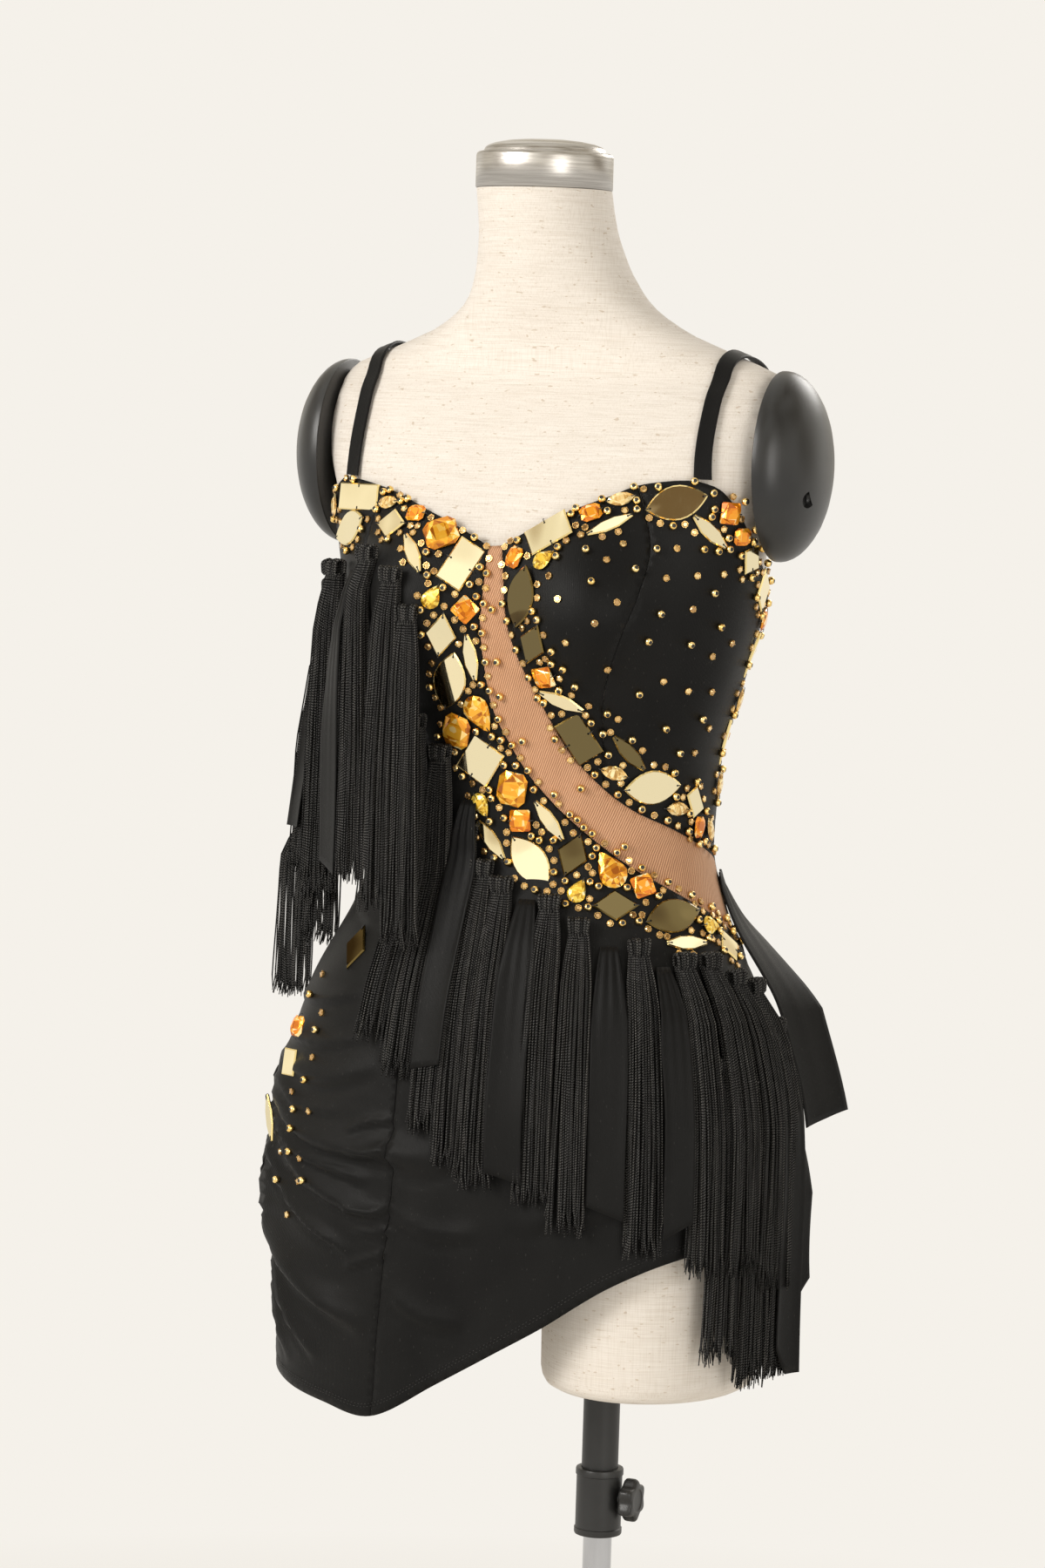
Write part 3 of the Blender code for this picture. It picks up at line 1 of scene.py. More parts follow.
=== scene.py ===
"""The finished look of a fringed salsa dress on its linen dress form and telescopic stand.

Tables are in millimetres and the meshes in metres, +Z up. +X is the wearer's left and
-Y the front. An angle runs round the figure in degrees: 0 is the centre front, +90 the
wearer's left side and 180 the centre back.
"""

import math
from collections import namedtuple

import bmesh
import bpy
import numpy as np
from mathutils import Matrix, Vector
from mathutils.geometry import delaunay_2d_cdt


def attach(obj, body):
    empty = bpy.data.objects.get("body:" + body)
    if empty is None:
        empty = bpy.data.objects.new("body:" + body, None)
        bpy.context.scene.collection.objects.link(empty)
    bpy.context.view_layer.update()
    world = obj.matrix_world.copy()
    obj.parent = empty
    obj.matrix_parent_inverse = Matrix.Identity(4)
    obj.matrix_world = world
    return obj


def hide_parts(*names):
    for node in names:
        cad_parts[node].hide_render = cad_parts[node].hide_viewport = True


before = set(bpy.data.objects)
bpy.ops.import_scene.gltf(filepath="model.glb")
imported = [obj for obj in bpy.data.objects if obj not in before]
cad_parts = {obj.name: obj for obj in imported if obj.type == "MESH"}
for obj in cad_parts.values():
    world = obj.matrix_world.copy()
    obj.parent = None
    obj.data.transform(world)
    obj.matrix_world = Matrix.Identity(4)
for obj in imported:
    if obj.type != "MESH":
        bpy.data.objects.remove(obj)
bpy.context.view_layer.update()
MM = 0.001


# ---------------------------------------------------------------- torso
# The limbless torso: a moulded shell padded thinly and covered in tight natural linen, cut
# square at the armholes and ended in two short rounded thighs. The cloth is pulled smooth and
# glued, so it has no folds.
# Each section: height, half width, depth in front, depth behind, centre's Y, squareness
FIGURE = (
    (640, 176, 104, 124, -33, 2.3), (760, 178, 107, 128, -33, 2.3), (880, 180, 108, 130, -30, 2.25),
    (960, 165, 104, 120, -24, 2.2), (1030, 133, 92, 100, -16, 2.1), (1078, 119, 84, 90, -10, 2.1),
    (1130, 121, 89, 94, -8, 2.1), (1190, 136, 96, 104, -10, 2.15), (1245, 150, 98, 110, -12, 2.2),
    (1300, 159, 89, 110, -14, 2.3), (1345, 170, 72, 104, -14, 2.4), (1385, 174, 54, 90, -10, 2.3),
    (1405, 162, 46, 78, -6, 2.1), (1420, 128, 46, 70, -6, 2.0), (1435, 92, 48, 62, -10, 2.0),
    (1455, 66, 50, 54, -18, 2.0), (1480, 54, 48, 50, -30, 2.0), (1510, 48, 47, 47, -42, 2.0),
    (1535, 47, 47, 47, -50, 2.0),
)
BUST_ANGLE = 33.0
BUST_HEIGHT = 1236.0
BUST_FULLNESS = 30.0
BUST_SPREAD = 21.0
BUST_ABOVE = 62.0
BUST_BELOW = 42.0
FORM_EASE = 2.4  # the form is this much slimmer under the dress
EASE_FROM = 1340.0
EASE_FULL = 1298.0
SHOULDER_CUT = 165.0
ARM_CUT_FROM = 1268.0
NECK_TOP = 1530.0
TORSO_COLUMNS = 128
TORSO_RING_STEP = 6.0
TORSO_FOOT = (
    (772, 60, 40, 44, -26, 2.2), (780, 112, 72, 84, -27, 2.2), (798, 158, 94, 114, -29, 2.2),
    (835, 176, 105, 127, -30, 2.2), (880, 177.6, 105.6, 127.6, -30, 2.25),
)
THIGH_X = 98.0
THIGH_Y = -23.0
THIGH_SIDES = 72
# Each ring: height, half width, half depth
THIGH_RINGS = (
    (697, 60, 74), (697.6, 66, 80), (700, 70.5, 84.5), (704, 72.8, 86.8), (710, 74, 88), (790, 75, 89),
    (862, 74, 88),
)


def smooth_columns(rows):
    """Return a function of height that reads each column on a curve with no overshoot."""
    rows = np.array(rows, float)
    heights, columns = rows[:, 0], rows[:, 1:]
    spans = np.diff(heights)[:, None]
    steps = np.diff(columns, axis=0) / spans
    slopes = np.vstack([steps[:1], np.zeros_like(steps[1:]), steps[-1:]])
    before, after = steps[:-1], steps[1:]
    w_before, w_after = spans[1:] + 2 * spans[:-1], 2 * spans[1:] + spans[:-1]
    rising = before * after > 0
    mean = w_after / np.where(rising, before, 1) + w_before / np.where(rising, after, 1)
    slopes[1:-1] = np.where(rising, (w_before + w_after) / np.where(rising, mean, 1), 0)

    def read(height):
        height = np.clip(np.asarray(height, float), heights[0], heights[-1])
        k = np.clip(np.searchsorted(heights, height, side="right") - 1, 0, len(heights) - 2)
        t = ((height - heights[k]) / spans[k, 0])[..., None]
        span = spans[k, 0][..., None]
        curve = (columns[k] * (1 + 2 * t) * (1 - t) ** 2 + columns[k + 1] * t * t * (3 - 2 * t)
                 + span * t * (1 - t) * (slopes[k] * (1 - t) - slopes[k + 1] * t))
        return [curve[..., i] for i in range(columns.shape[1])]

    return read


figure_at = smooth_columns(FIGURE)
torso_foot_at = smooth_columns(TORSO_FOOT)


def oval(angle, section):
    half_width, front, back, _, power = section
    side, ahead = np.sin(np.radians(angle)), np.cos(np.radians(angle))
    depth = np.where(ahead > 0, front, back)
    return (np.abs(side / half_width) ** power + np.abs(ahead / depth) ** power) ** (-1 / power)


def on_figure(angle, height, out=0.0):
    """Return points at angles and heights, a distance out from the figure."""
    angle, height = np.broadcast_arrays(np.asarray(angle, float), np.asarray(height, float))
    section = figure_at(height)
    reach = oval(angle, section)
    above = height - BUST_HEIGHT
    fade = (above / np.where(above > 0, BUST_ABOVE, BUST_BELOW)) ** 2
    for bust in (-BUST_ANGLE, BUST_ANGLE):
        off = (angle - bust + 180) % 360 - 180
        reach = reach + BUST_FULLNESS * np.exp(-(off / BUST_SPREAD) ** 2 - fade)
    reach = reach + out
    a = np.radians(angle)
    return np.stack([reach * np.sin(a), section[3] - reach * np.cos(a), height + 0 * reach], axis=-1)


def torso_point(angle, height):
    if height < TORSO_FOOT[-1][0]:
        section = torso_foot_at(height)
        reach = oval(angle, section)
        a = np.radians(angle)
        return np.stack([reach * np.sin(a), section[3] - reach * np.cos(a), height + 0 * reach], axis=-1)
    ease = FORM_EASE * min(max((EASE_FROM - height) / (EASE_FROM - EASE_FULL), 0.0), 1.0)
    points = on_figure(angle, height, -ease)
    if height > ARM_CUT_FROM:
        points[:, 0] = np.clip(points[:, 0], -SHOULDER_CUT, SHOULDER_CUT)
    return points


def take(piece):
    bpy.ops.object.select_all(action="DESELECT")
    piece.select_set(True)
    bpy.context.view_layer.objects.active = piece


def primitive(kind, name, **sizes):
    """Add a primitive at the origin with nothing else selected."""
    bpy.ops.object.select_all(action="DESELECT")
    getattr(bpy.ops.mesh, f"primitive_{kind}_add")(location=(0, 0, 0), **sizes)
    bpy.context.object.name = name
    return bpy.context.object


def linked(name, data):
    made = bpy.data.objects.new(name, data)
    bpy.context.collection.objects.link(made)
    return made


def ringed(name, rings):
    """Shape a cylinder primitive into closed rings of points, one above the other."""
    rings = np.asarray(rings)
    sides = rings.shape[1]
    piece = primitive("cylinder", name, vertices=sides, radius=1, depth=1, end_fill_type="NGON")
    bpy.ops.object.mode_set(mode="EDIT")
    bpy.ops.mesh.select_mode(type="EDGE")
    bpy.ops.mesh.select_all(action="DESELECT")
    made = bmesh.from_edit_mesh(piece.data)
    for line in made.edges:
        low, high = sorted(vertex.co.z for vertex in line.verts)
        line.select_set(high - low > 0.5)
    bmesh.update_edit_mesh(piece.data)
    bpy.ops.mesh.subdivide(number_cuts=len(rings) - 2)
    bpy.ops.object.mode_set(mode="OBJECT")
    for vertex in piece.data.vertices:
        level = round((vertex.co.z + 0.5) * (len(rings) - 1))
        column = round(math.degrees(math.atan2(vertex.co.x, -vertex.co.y)) * sides / 360) % sides
        vertex.co = Vector(rings[level, column]) * MM
    return piece


def smooth(piece, degrees):
    take(piece)
    bpy.ops.object.shade_smooth_by_angle(angle=math.radians(degrees))


def apply_modifier(piece, kind, **settings):
    modifier = piece.modifiers.new(kind.title(), kind)
    for key, value in settings.items():
        setattr(modifier, key, value)
    take(piece)
    bpy.ops.object.modifier_apply(modifier=modifier.name)


def combine(piece, other, operation="DIFFERENCE"):
    """Join or cut a piece with another, which is used up."""
    apply_modifier(piece, "BOOLEAN", operation=operation, object=other)
    bpy.data.objects.remove(other)


def feed(tree, shader, inputs):
    """Link or set the inputs of a shader node."""
    for socket, value in inputs.items():
        if isinstance(value, bpy.types.NodeSocket):
            tree.links.new(value, shader.inputs[socket])
        else:
            shader.inputs[socket].default_value = value


def node(tree, kind, inputs, **settings):
    made = tree.nodes.new("ShaderNode" + kind)
    for key, value in settings.items():
        setattr(made, key, value)
    feed(tree, made, inputs)
    return made


def principled(name, sockets):
    """Make a Principled material with these sockets set, and return it with its tree and shader."""
    made = bpy.data.materials.new(name)
    made.use_nodes = True
    shader = made.node_tree.nodes["Principled BSDF"]
    feed(made.node_tree, shader, sockets)
    return made, made.node_tree, shader


def coordinate(tree, kind="Object"):
    return node(tree, "TexCoord", {}).outputs[kind]


def span(tree, value, low, high, to_low, to_high):
    """Map a value from one range to another."""
    return node(tree, "MapRange", {0: value, 1: low, 2: high, 3: to_low, 4: to_high}).outputs[0]


def triple(value):
    """Return three of a number, or a triple as it is."""
    return (value,) * 3 if isinstance(value, (int, float)) else value


def ramp(tree, factor, stops):
    """Add a colour ramp with these stops, each a place and a colour or a grey."""
    made = node(tree, "ValToRGB", {"Fac": factor})
    elements = made.color_ramp.elements
    while len(elements) < len(stops):
        elements.new(0.5)
    for element, (place, colour) in zip(elements, stops):
        element.position = place
        element.color = (*triple(colour), 1.0)
    return made.outputs["Color"]


def streaks(tree, coordinate, scale, detail=3.0):
    """Add noise drawn out along the axes whose scale is small."""
    stretched = node(tree, "Mapping", {"Vector": coordinate, "Scale": triple(scale)})
    noise = node(tree, "TexNoise", {"Vector": stretched.outputs["Vector"], "Scale": 1.0, "Detail": detail})
    return noise.outputs["Fac"]


def mix_colour(tree, blend, factor, first, second):
    made = node(tree, "Mix", {0: factor, 6: first, 7: second}, data_type="RGBA", blend_type=blend)
    return made.outputs[2]


def darkened(tree, colour, share, factor, stops):
    """Multiply a colour by a ramp, for a share of its whole effect."""
    return mix_colour(tree, "MULTIPLY", share, colour, ramp(tree, factor, stops))


def maths(tree, operation, first, second=0.5):
    return node(tree, "Math", {0: first, 1: second}, operation=operation).outputs[0]


def bump(tree, shader, height, strength, distance):
    made = node(tree, "Bump", {"Height": height, "Strength": strength, "Distance": distance})
    tree.links.new(made.outputs["Normal"], shader.inputs["Normal"])


def placed(piece, body, slot, material, *nodes):
    """Give a finished piece its material and body, and hide the nodes it stands for. Its slot is not used.
    """
    piece.data.materials.clear()
    piece.data.materials.append(material)
    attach(piece, body)
    if nodes:
        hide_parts(*nodes)


def linen_cloth():
    made, tree, shader = principled("natural_linen", {
        "Roughness": 0.92, "Sheen Weight": 0.12, "Sheen Roughness": 0.6, "Specular IOR Level": 0.25})
    place = coordinate(tree)
    weft = streaks(tree, place, (45, 45, 1500))
    warp = streaks(tree, place, (1300, 1300, 40))
    slub = streaks(tree, place, (26, 26, 700), detail=1.0)
    neps = streaks(tree, place, (240, 240, 620), detail=0.0)
    tone = ramp(tree, weft, [(0.3, (0.66, 0.60, 0.53)), (0.5, (0.72, 0.665, 0.60)),
                             (0.72, (0.77, 0.72, 0.66))])
    tone = darkened(tree, tone, 0.45, warp, [(0.34, (0.84, 0.81, 0.77)), (0.55, 1)])
    tone = darkened(tree, tone, 0.45, slub, [(0.26, (0.90, 0.86, 0.81)), (0.38, 1)])
    tone = darkened(tree, tone, 0.6, neps, [(0.20, (0.66, 0.55, 0.43)), (0.24, 1)])
    feed(tree, shader, {"Base Color": tone})
    bump(tree, shader, maths(tree, "ADD", weft, warp), 0.35, 0.0003)
    return made


torso_angles = np.arange(TORSO_COLUMNS) * 360 / TORSO_COLUMNS
foot_heights = [772, 775, 780, 786, 793, 801, 811, 823, 837, 853, 868]
torso_heights = foot_heights + list(np.arange(880, NECK_TOP - 2, TORSO_RING_STEP)) + [NECK_TOP]
torso = ringed("linen_torso", [torso_point(torso_angles, height) for height in torso_heights])
for side in (-1, 1):
    turn = np.radians(np.arange(THIGH_SIDES) * 360 / THIGH_SIDES)
    thigh = ringed("thigh", [np.stack([
        side * THIGH_X + wide * np.sin(turn), THIGH_Y - deep * np.cos(turn), height + 0 * turn], axis=-1)
        for height, wide, deep in THIGH_RINGS])
    combine(torso, thigh, "UNION")
smooth(torso, 38)
placed(torso, "form", "linen", linen_cloth(), "torso")


# ---------------------------------------------------------------- neck cap
# The spun steel cap on the neck block: a straight band with a rolled lower edge and a low
# domed lid let into its top. Turned on a lathe and brushed round.
CAP_Y = -49.0
CAP_SIDES = 128
CAP_PROFILE = (
    (46.0, 0.3), (47.2, 0.3), (47.7, 0.9), (47.7, 22.6), (47.2, 24.2), (46.0, 25.2), (44.4, 25.3),
    (43.4, 24.6), (43.0, 24.6), (42.6, 25.6), (42.4, 26.6), (41.6, 28.3), (39.4, 30.0), (35.0, 31.6),
    (27.0, 33.2), (16.0, 34.3), (6.0, 34.7),
)


def edit_faces(piece):
    """Open a piece in edit mode with all its faces selected."""
    take(piece)
    bpy.ops.object.mode_set(mode="EDIT")
    bpy.ops.mesh.select_mode(type="FACE")
    bpy.ops.mesh.select_all(action="SELECT")


def face_outwards():
    """Turn every face of the piece in edit mode outwards, and leave edit mode."""
    bpy.ops.mesh.select_all(action="SELECT")
    bpy.ops.mesh.normals_make_consistent(inside=False)
    bpy.ops.object.mode_set(mode="OBJECT")


def shift(x, y, z):
    return Matrix.Translation(Vector((x, y, z)) * MM)


def raise_face(rise, share=1.0, turn=0.0):
    """Extrude the selected face of the piece in edit mode, then scale and turn it."""
    bpy.ops.mesh.extrude_region_move(TRANSFORM_OT_translate={"value": (0, 0, rise)})
    if share != 1.0:
        bpy.ops.transform.resize(value=(share, share, 1), center_override=(0, 0, 0))
    if turn:
        bpy.ops.transform.rotate(value=turn, orient_axis="Z", center_override=(0, 0, 0))


def turned(name, profile, x, y, foot, sides):
    """Extrude and scale a circle primitive up a turned profile, closed at both ends."""
    first_radius, first_height = profile[0]
    piece = primitive("circle", name, vertices=sides, radius=first_radius * MM, fill_type="NGON")
    edit_faces(piece)
    rise, radius = first_height, first_radius
    for next_radius, next_height in profile[1:]:
        raise_face((next_height - rise) * MM, next_radius / radius)
        rise, radius = next_height, next_radius
    face_outwards()
    piece.data.transform(shift(x, y, foot + first_height))
    return piece


def brushed_steel():
    made, tree, shader = principled("brushed_steel", {"Metallic": 1.0, "Anisotropic": 0.6})
    place = coordinate(tree)
    centred = node(tree, "Mapping", {"Vector": place, "Location": (0, -CAP_Y * MM, 0)})
    split = node(tree, "SeparateXYZ", {0: centred.outputs["Vector"]})
    flat = node(tree, "CombineXYZ", {0: split.outputs[0], 1: split.outputs[1]})
    reach = node(tree, "VectorMath", {0: flat.outputs[0]}, operation="LENGTH").outputs["Value"]
    rings = node(tree, "CombineXYZ", {0: reach, 1: 0.0, 2: split.outputs[2]})
    grain = streaks(tree, rings.outputs[0], (2600, 1, 2600), detail=2.0)
    smear = streaks(tree, centred.outputs["Vector"], (30, 30, 700), detail=1.0)
    feed(tree, shader, {"Roughness": span(tree, grain, 0.3, 0.7, 0.22, 0.36), "Base Color": ramp(
        tree, smear, [(0.3, (0.36, 0.34, 0.315)), (0.7, (0.50, 0.475, 0.445))])})
    bump(tree, shader, grain, 0.25, 0.0001)
    return made


cap = turned("neck_cap_steel", CAP_PROFILE, 0, CAP_Y, NECK_TOP, CAP_SIDES)
smooth(cap, 50)
placed(cap, "form", "steel", brushed_steel(), "neck_cap")


# ---------------------------------------------------------------- arm discs
# The two armhole covers: moulded satin-black domes, oval and slightly taller than deep, each
# held on by one screw in a small oval recess near its lower front.
ARM_DISC_Y = -4.0
ARM_DISC_Z = 1344.0
ARM_DISC_HALF_DEPTH = 56.0
ARM_DISC_HALF_HEIGHT = 66.0
DISC_GAP = 0.3
DISC_PROFILE = (
    (0.985, 0.0), (1.0, 0.6), (1.0, 3.0), (0.992, 6.0), (0.97, 9.5), (0.94, 12.6), (0.89, 16.2),
    (0.83, 19.5), (0.75, 23.0), (0.65, 26.2), (0.54, 28.8), (0.42, 30.9), (0.28, 32.4), (0.14, 33.2),
    (0.04, 33.4),
)
SCREW_Y = -25.0
SCREW_Z = 1322.0
RECESS_OUT = 30.5  # of the recess's floor from the armhole


def worn(name, sockets, scale, detail, stops, rough=None, grain=None):
    """Make a finish whose colour varies with wear, with its roughness and grain where given."""
    made, tree, shader = principled(name, sockets)
    wear = streaks(tree, coordinate(tree), scale, detail=detail)
    feed(tree, shader, {"Base Color": ramp(tree, wear, stops)})
    if rough:
        feed(tree, shader, {"Roughness": span(tree, wear, *rough)})
    if grain:
        bump(tree, shader, streaks(tree, coordinate(tree), grain, detail=2.0), 0.12, 0.0001)
    return made


def satin_black(name, roughness, grain):
    return worn(name, {"Specular IOR Level": 0.5}, 22, 4.0, [(0.35, 0.010), (0.7, (0.018, 0.018, 0.0175))],
                (0.3, 0.7, roughness - 0.04, roughness + 0.06), grain)


disc_black = satin_black("moulded_black_plastic", 0.34, 2200)
for side, name in ((1, "arm_disc_left"), (-1, "arm_disc_right")):
    disc = turned(name + "_cover", [(share * 10, out * 10 / 56) for share, out in DISC_PROFILE],
                  0, 0, 0, 96)
    stand_up = Matrix(((0, 0, side * 5.6, 0), (side * ARM_DISC_HALF_DEPTH / 10, 0, 0, 0),
                       (0, ARM_DISC_HALF_HEIGHT / 10, 0, 0), (0, 0, 0, 1)))
    disc.data.transform(stand_up)
    disc.data.transform(shift(side * (SHOULDER_CUT + DISC_GAP), ARM_DISC_Y, ARM_DISC_Z))
    recess = turned("recess", ((6.2, 0), (4.4, 4.0)), 0, 0, 0, 32)
    recess.data.transform(Matrix.Scale(1.25, 4, (0, 1, 0)))
    recess.data.transform(Matrix.Rotation(-side * math.pi / 2, 4, "Y"))
    recess.data.transform(shift(side * (SHOULDER_CUT + RECESS_OUT), SCREW_Y, SCREW_Z))
    combine(disc, recess)
    smooth(disc, 35)
    placed(disc, "form", "satin_black", disc_black, name)


# ---------------------------------------------------------------- stand
# The telescopic stand: a heavy powder-coated round base, a chromed post, and a satin-black
# tube that slides on it and ends in the left thigh. A clamp collar and a star knob lock it.
POST_X = 63.0
POST_Y = -23.0
POST_RADIUS = 10.25
POST_TOP = 800.0
POST_WALL = 1.5
TUBE_BORE = 10.7
TUBE_RADIUS = 13.0
TUBE_FOOT = 590.0
TUBE_TOP = 960.0
TUBE_CAP = 4.0
SOCKET_RADIUS = 13.6
SOCKET_FOOT = 600.0
SOCKET_TOP = 961.0
COLLAR_RADIUS = 17.0
COLLAR_FOOT = 583.0
COLLAR_TALL = 48.0
KNOB_HEIGHT = 610.0
KNOB_RADIUS = 15.5
KNOB_LOBES = 6
KNOB_PLAIN = 9.0
LOBE_DEPTH = 0.12
KNOB_SIDES = 96
KNOB_STEM = 4.0
KNOB_PROFILE = (
    (KNOB_STEM, 13.3), (KNOB_STEM, 17.7), (7.0, 18.0), (10.5, 18.8), (14.0, 20.0), (15.1, 21.0),
    (15.5, 22.4), (15.5, 27.0), (15.2, 28.4), (14.2, 29.5), (12.6, 30.0), (8.4, 30.0), (8.0, 29.5),
    (7.2, 29.3), (2.0, 29.3),
)
BASE_RIM = 5.0
BASE_PROFILE = (
    (197.0, 0), (198.6, 0.3), (199.6, 1.0), (200.0, 2.2), (200.0, 4.2), (199.4, 5.6), (197.8, 6.8),
    (194.0, 7.9), (150.0, 9.4), (100.0, 11.1), (60.0, 12.4), (40.0, 13.2), (31.0, 14.6), (25.0, 18.6),
    (21.6, 24.0), (20.2, 29.0), (20.0, 33.0), (20.0, 40.4), (19.6, 41.4), (18.6, 42.0),
)
COLLAR_PROFILE = (
    (15.6, 0), (16.6, 0.3), (17.0, 1.2), (17.0, 4.6), (16.3, 5.2), (16.3, 42.6), (17.0, 43.2),
    (17.0, 46.8), (16.6, 47.7), (15.6, 48.0),
)
TUBE_SIDES = 72
FIT = 0.3  # between parts that fit into each other


def on_post(name, profile, foot, sides=TUBE_SIDES):
    return turned(name, profile, POST_X, POST_Y, foot, sides)


def bore(piece, radius, low, high, foot=0.0):
    """Bore a piece on the post's axis, between two heights above its foot."""
    combine(piece, on_post("bore", ((radius, low), (radius, high)), foot))


powder_coat = satin_black("black_powder_coat", 0.46, 1500)
knob_plastic = satin_black("black_knob_plastic", 0.42, 1800)
chrome = worn("chrome_plate", {"Metallic": 1.0}, (90, 90, 12), 4.0, [
    (0.3, (0.56, 0.56, 0.57)), (0.75, (0.46, 0.46, 0.47))], (0.35, 0.7, 0.05, 0.14))

base = on_post("stand_base", BASE_PROFILE, 0, 160)
bore(base, POST_RADIUS + FIT, BASE_RIM, 60)
smooth(base, 32)
placed(base, "stand", "satin_black", powder_coat, "base")

post_foot = BASE_RIM + FIT
post_tall = POST_TOP - post_foot
post = on_post("chrome_post", ((POST_RADIUS - 0.5, 0), (POST_RADIUS, 0.5), (POST_RADIUS, post_tall - 0.5),
                               (POST_RADIUS - 0.5, post_tall)), post_foot)
bore(post, POST_RADIUS - POST_WALL, -1, post_tall + 1, post_foot)
smooth(post, 32)
placed(post, "stand", "chrome", chrome, "post")

tube_tall = TUBE_TOP - TUBE_FOOT
tube = on_post("sliding_tube", ((TUBE_RADIUS - 0.6, 0), (TUBE_RADIUS, 0.6), (TUBE_RADIUS, tube_tall - 1),
                                (TUBE_RADIUS - 1, tube_tall)), TUBE_FOOT)
bore(tube, TUBE_BORE, -1, tube_tall - TUBE_CAP, TUBE_FOOT)
smooth(tube, 32)
placed(tube, "mast", "satin_black", powder_coat, "mast_tube")

collar = on_post("clamp_collar_ring", COLLAR_PROFILE, COLLAR_FOOT)
bore(collar, TUBE_BORE, -1, COLLAR_TALL + 1, COLLAR_FOOT)
bore(collar, TUBE_RADIUS + FIT, TUBE_FOOT - COLLAR_FOOT - FIT, COLLAR_TALL + 1, COLLAR_FOOT)
stem_hole = turned("stem_hole", ((KNOB_STEM + 0.4, 11), (KNOB_STEM + 0.4, 25)), 0, 0, 0, 32)
onto_x = shift(POST_X, POST_Y, KNOB_HEIGHT) @ Matrix.Rotation(math.pi / 2, 4, "Y")
stem_hole.data.transform(onto_x)
combine(collar, stem_hole)
smooth(collar, 32)
placed(collar, "mast", "satin_black", knob_plastic, "clamp_collar")

knob = turned("star_knob", KNOB_PROFILE, 0, 0, 0, KNOB_SIDES)
for vertex in knob.data.vertices:
    reach = math.hypot(vertex.co.x, vertex.co.y) / MM
    lobe = math.cos(KNOB_LOBES * math.atan2(vertex.co.y, vertex.co.x))
    if reach > KNOB_PLAIN:
        share = 1 - LOBE_DEPTH * (1 - lobe) * (reach / KNOB_RADIUS) ** 2
        vertex.co.x *= share
        vertex.co.y *= share
knob.data.transform(onto_x)
smooth(knob, 40)
placed(knob, "knob", "satin_black", knob_plastic, "clamp_knob")

bore(torso, SOCKET_RADIUS, 0, SOCKET_TOP - SOCKET_FOOT, SOCKET_FOOT)
smooth(torso, 38)


# ---------------------------------------------------------------- dress body
# The dress: black stretch crepe jersey in five panels, princess-seamed, turned up and
# twin-needle stitched at the hem and necklines. Ruching is drawn into the right side seam.
# Each edge and seam runs through spots, each an angle and a height on the figure.
LEFT_NECKLINE = ((3, 1285), (14, 1296), (29, 1310), (43, 1321), (52, 1329), (61, 1333), (66, 1333.5))
RIGHT_NECKLINE = (
    (-3, 1284), (-19, 1299), (-34, 1310), (-44, 1316.5), (-52, 1321), (-62, 1325.5), (-68, 1326.5),
)
LEFT_ARMHOLE = ((66, 1333.5), (71, 1328), (75.5, 1315), (80, 1301), (87, 1282), (97, 1265), (104, 1257))
RIGHT_ARMHOLE = (
    (-68, 1326.5), (-72, 1319), (-76, 1307), (-80.5, 1293), (-88, 1277), (-97, 1263), (-104, 1256),
)
BACK_NECKLINE = (
    (104, 1257), (118, 1246), (131, 1226), (146, 1190), (163, 1158), (180, 1146), (197, 1158),
    (214, 1190), (229, 1226), (242, 1246), (256, 1256),
)
CUP_SEAM = (
    (52, 1329), (53, 1308), (53, 1284), (48, 1255), (43, 1226), (41.5, 1190), (43, 1158), (45, 1119.5),
)
INSET_UPPER_EDGE = (
    (3, 1285), (5, 1260), (7, 1231), (11, 1210), (16, 1191), (24, 1165), (32, 1143), (45, 1119.5),
    (57, 1104), (70, 1093), (86, 1079), (104, 1066),
)
INSET_LOWER_EDGE = (
    (-3, 1284), (-3.3, 1255), (-4.2, 1230), (-3.4, 1203), (-1, 1174), (5, 1152), (14, 1129), (24, 1111),
    (34, 1096), (54, 1069), (72, 1048), (88, 1030), (104, 1012),
)
RIGHT_PRINCESS_SEAM = (
    (-52, 1321), (-52, 1284), (-47, 1255), (-42, 1226), (-38, 1190), (-33, 1130), (-29, 1060),
    (-27, 980), (-26, 900), (-26, 830), (-28, 784), (-30, 735), (-32, 674),
)
RIGHT_SIDE_SEAM = (
    (-104, 1256), (-104, 1150), (-98, 1050), (-84, 960), (-77, 900), (-75, 840), (-77, 760), (-80, 692),
)
LEFT_SIDE_SEAM_UPPER = ((104, 1257), (103, 1170), (104, 1066))
LEFT_SIDE_SEAM_INSET = ((104, 1066), (104, 1012))
LEFT_SIDE_SEAM_LOWER = ((104, 1012), (103, 940), (102, 822))
HEM = (
    (-80, 692), (-66, 683), (-50, 677), (-32, 674), (-8, 702), (14, 728), (32, 752), (50, 783),
    (65, 802), (82, 813), (102, 822),
)
BACK_HEM = (
    (102, 822), (125, 806), (155, 778), (185, 750), (215, 724), (245, 704), (262, 697), (280, 692),
)

# Ruching drawn into the right side seam: the start, middle and end of each ridge, its rise and width
FOLDS = (
    ((-76, 912), (-54, 905), (-34, 920), 3.0, 9), ((-76, 892), (-54, 862), (-6, 860), 5.0, 10),
    ((-76, 868), (-52, 829), (-28, 813), 4.5, 9), ((-77, 846), (-69, 778), (-34, 733), 6.0, 12),
    ((-77, 902), (-98, 884), (-124, 890), 4.0, 10), ((-76, 872), (-98, 838), (-132, 826), 5.0, 11),
    ((-77, 846), (-92, 786), (-122, 744), 4.5, 12),
)

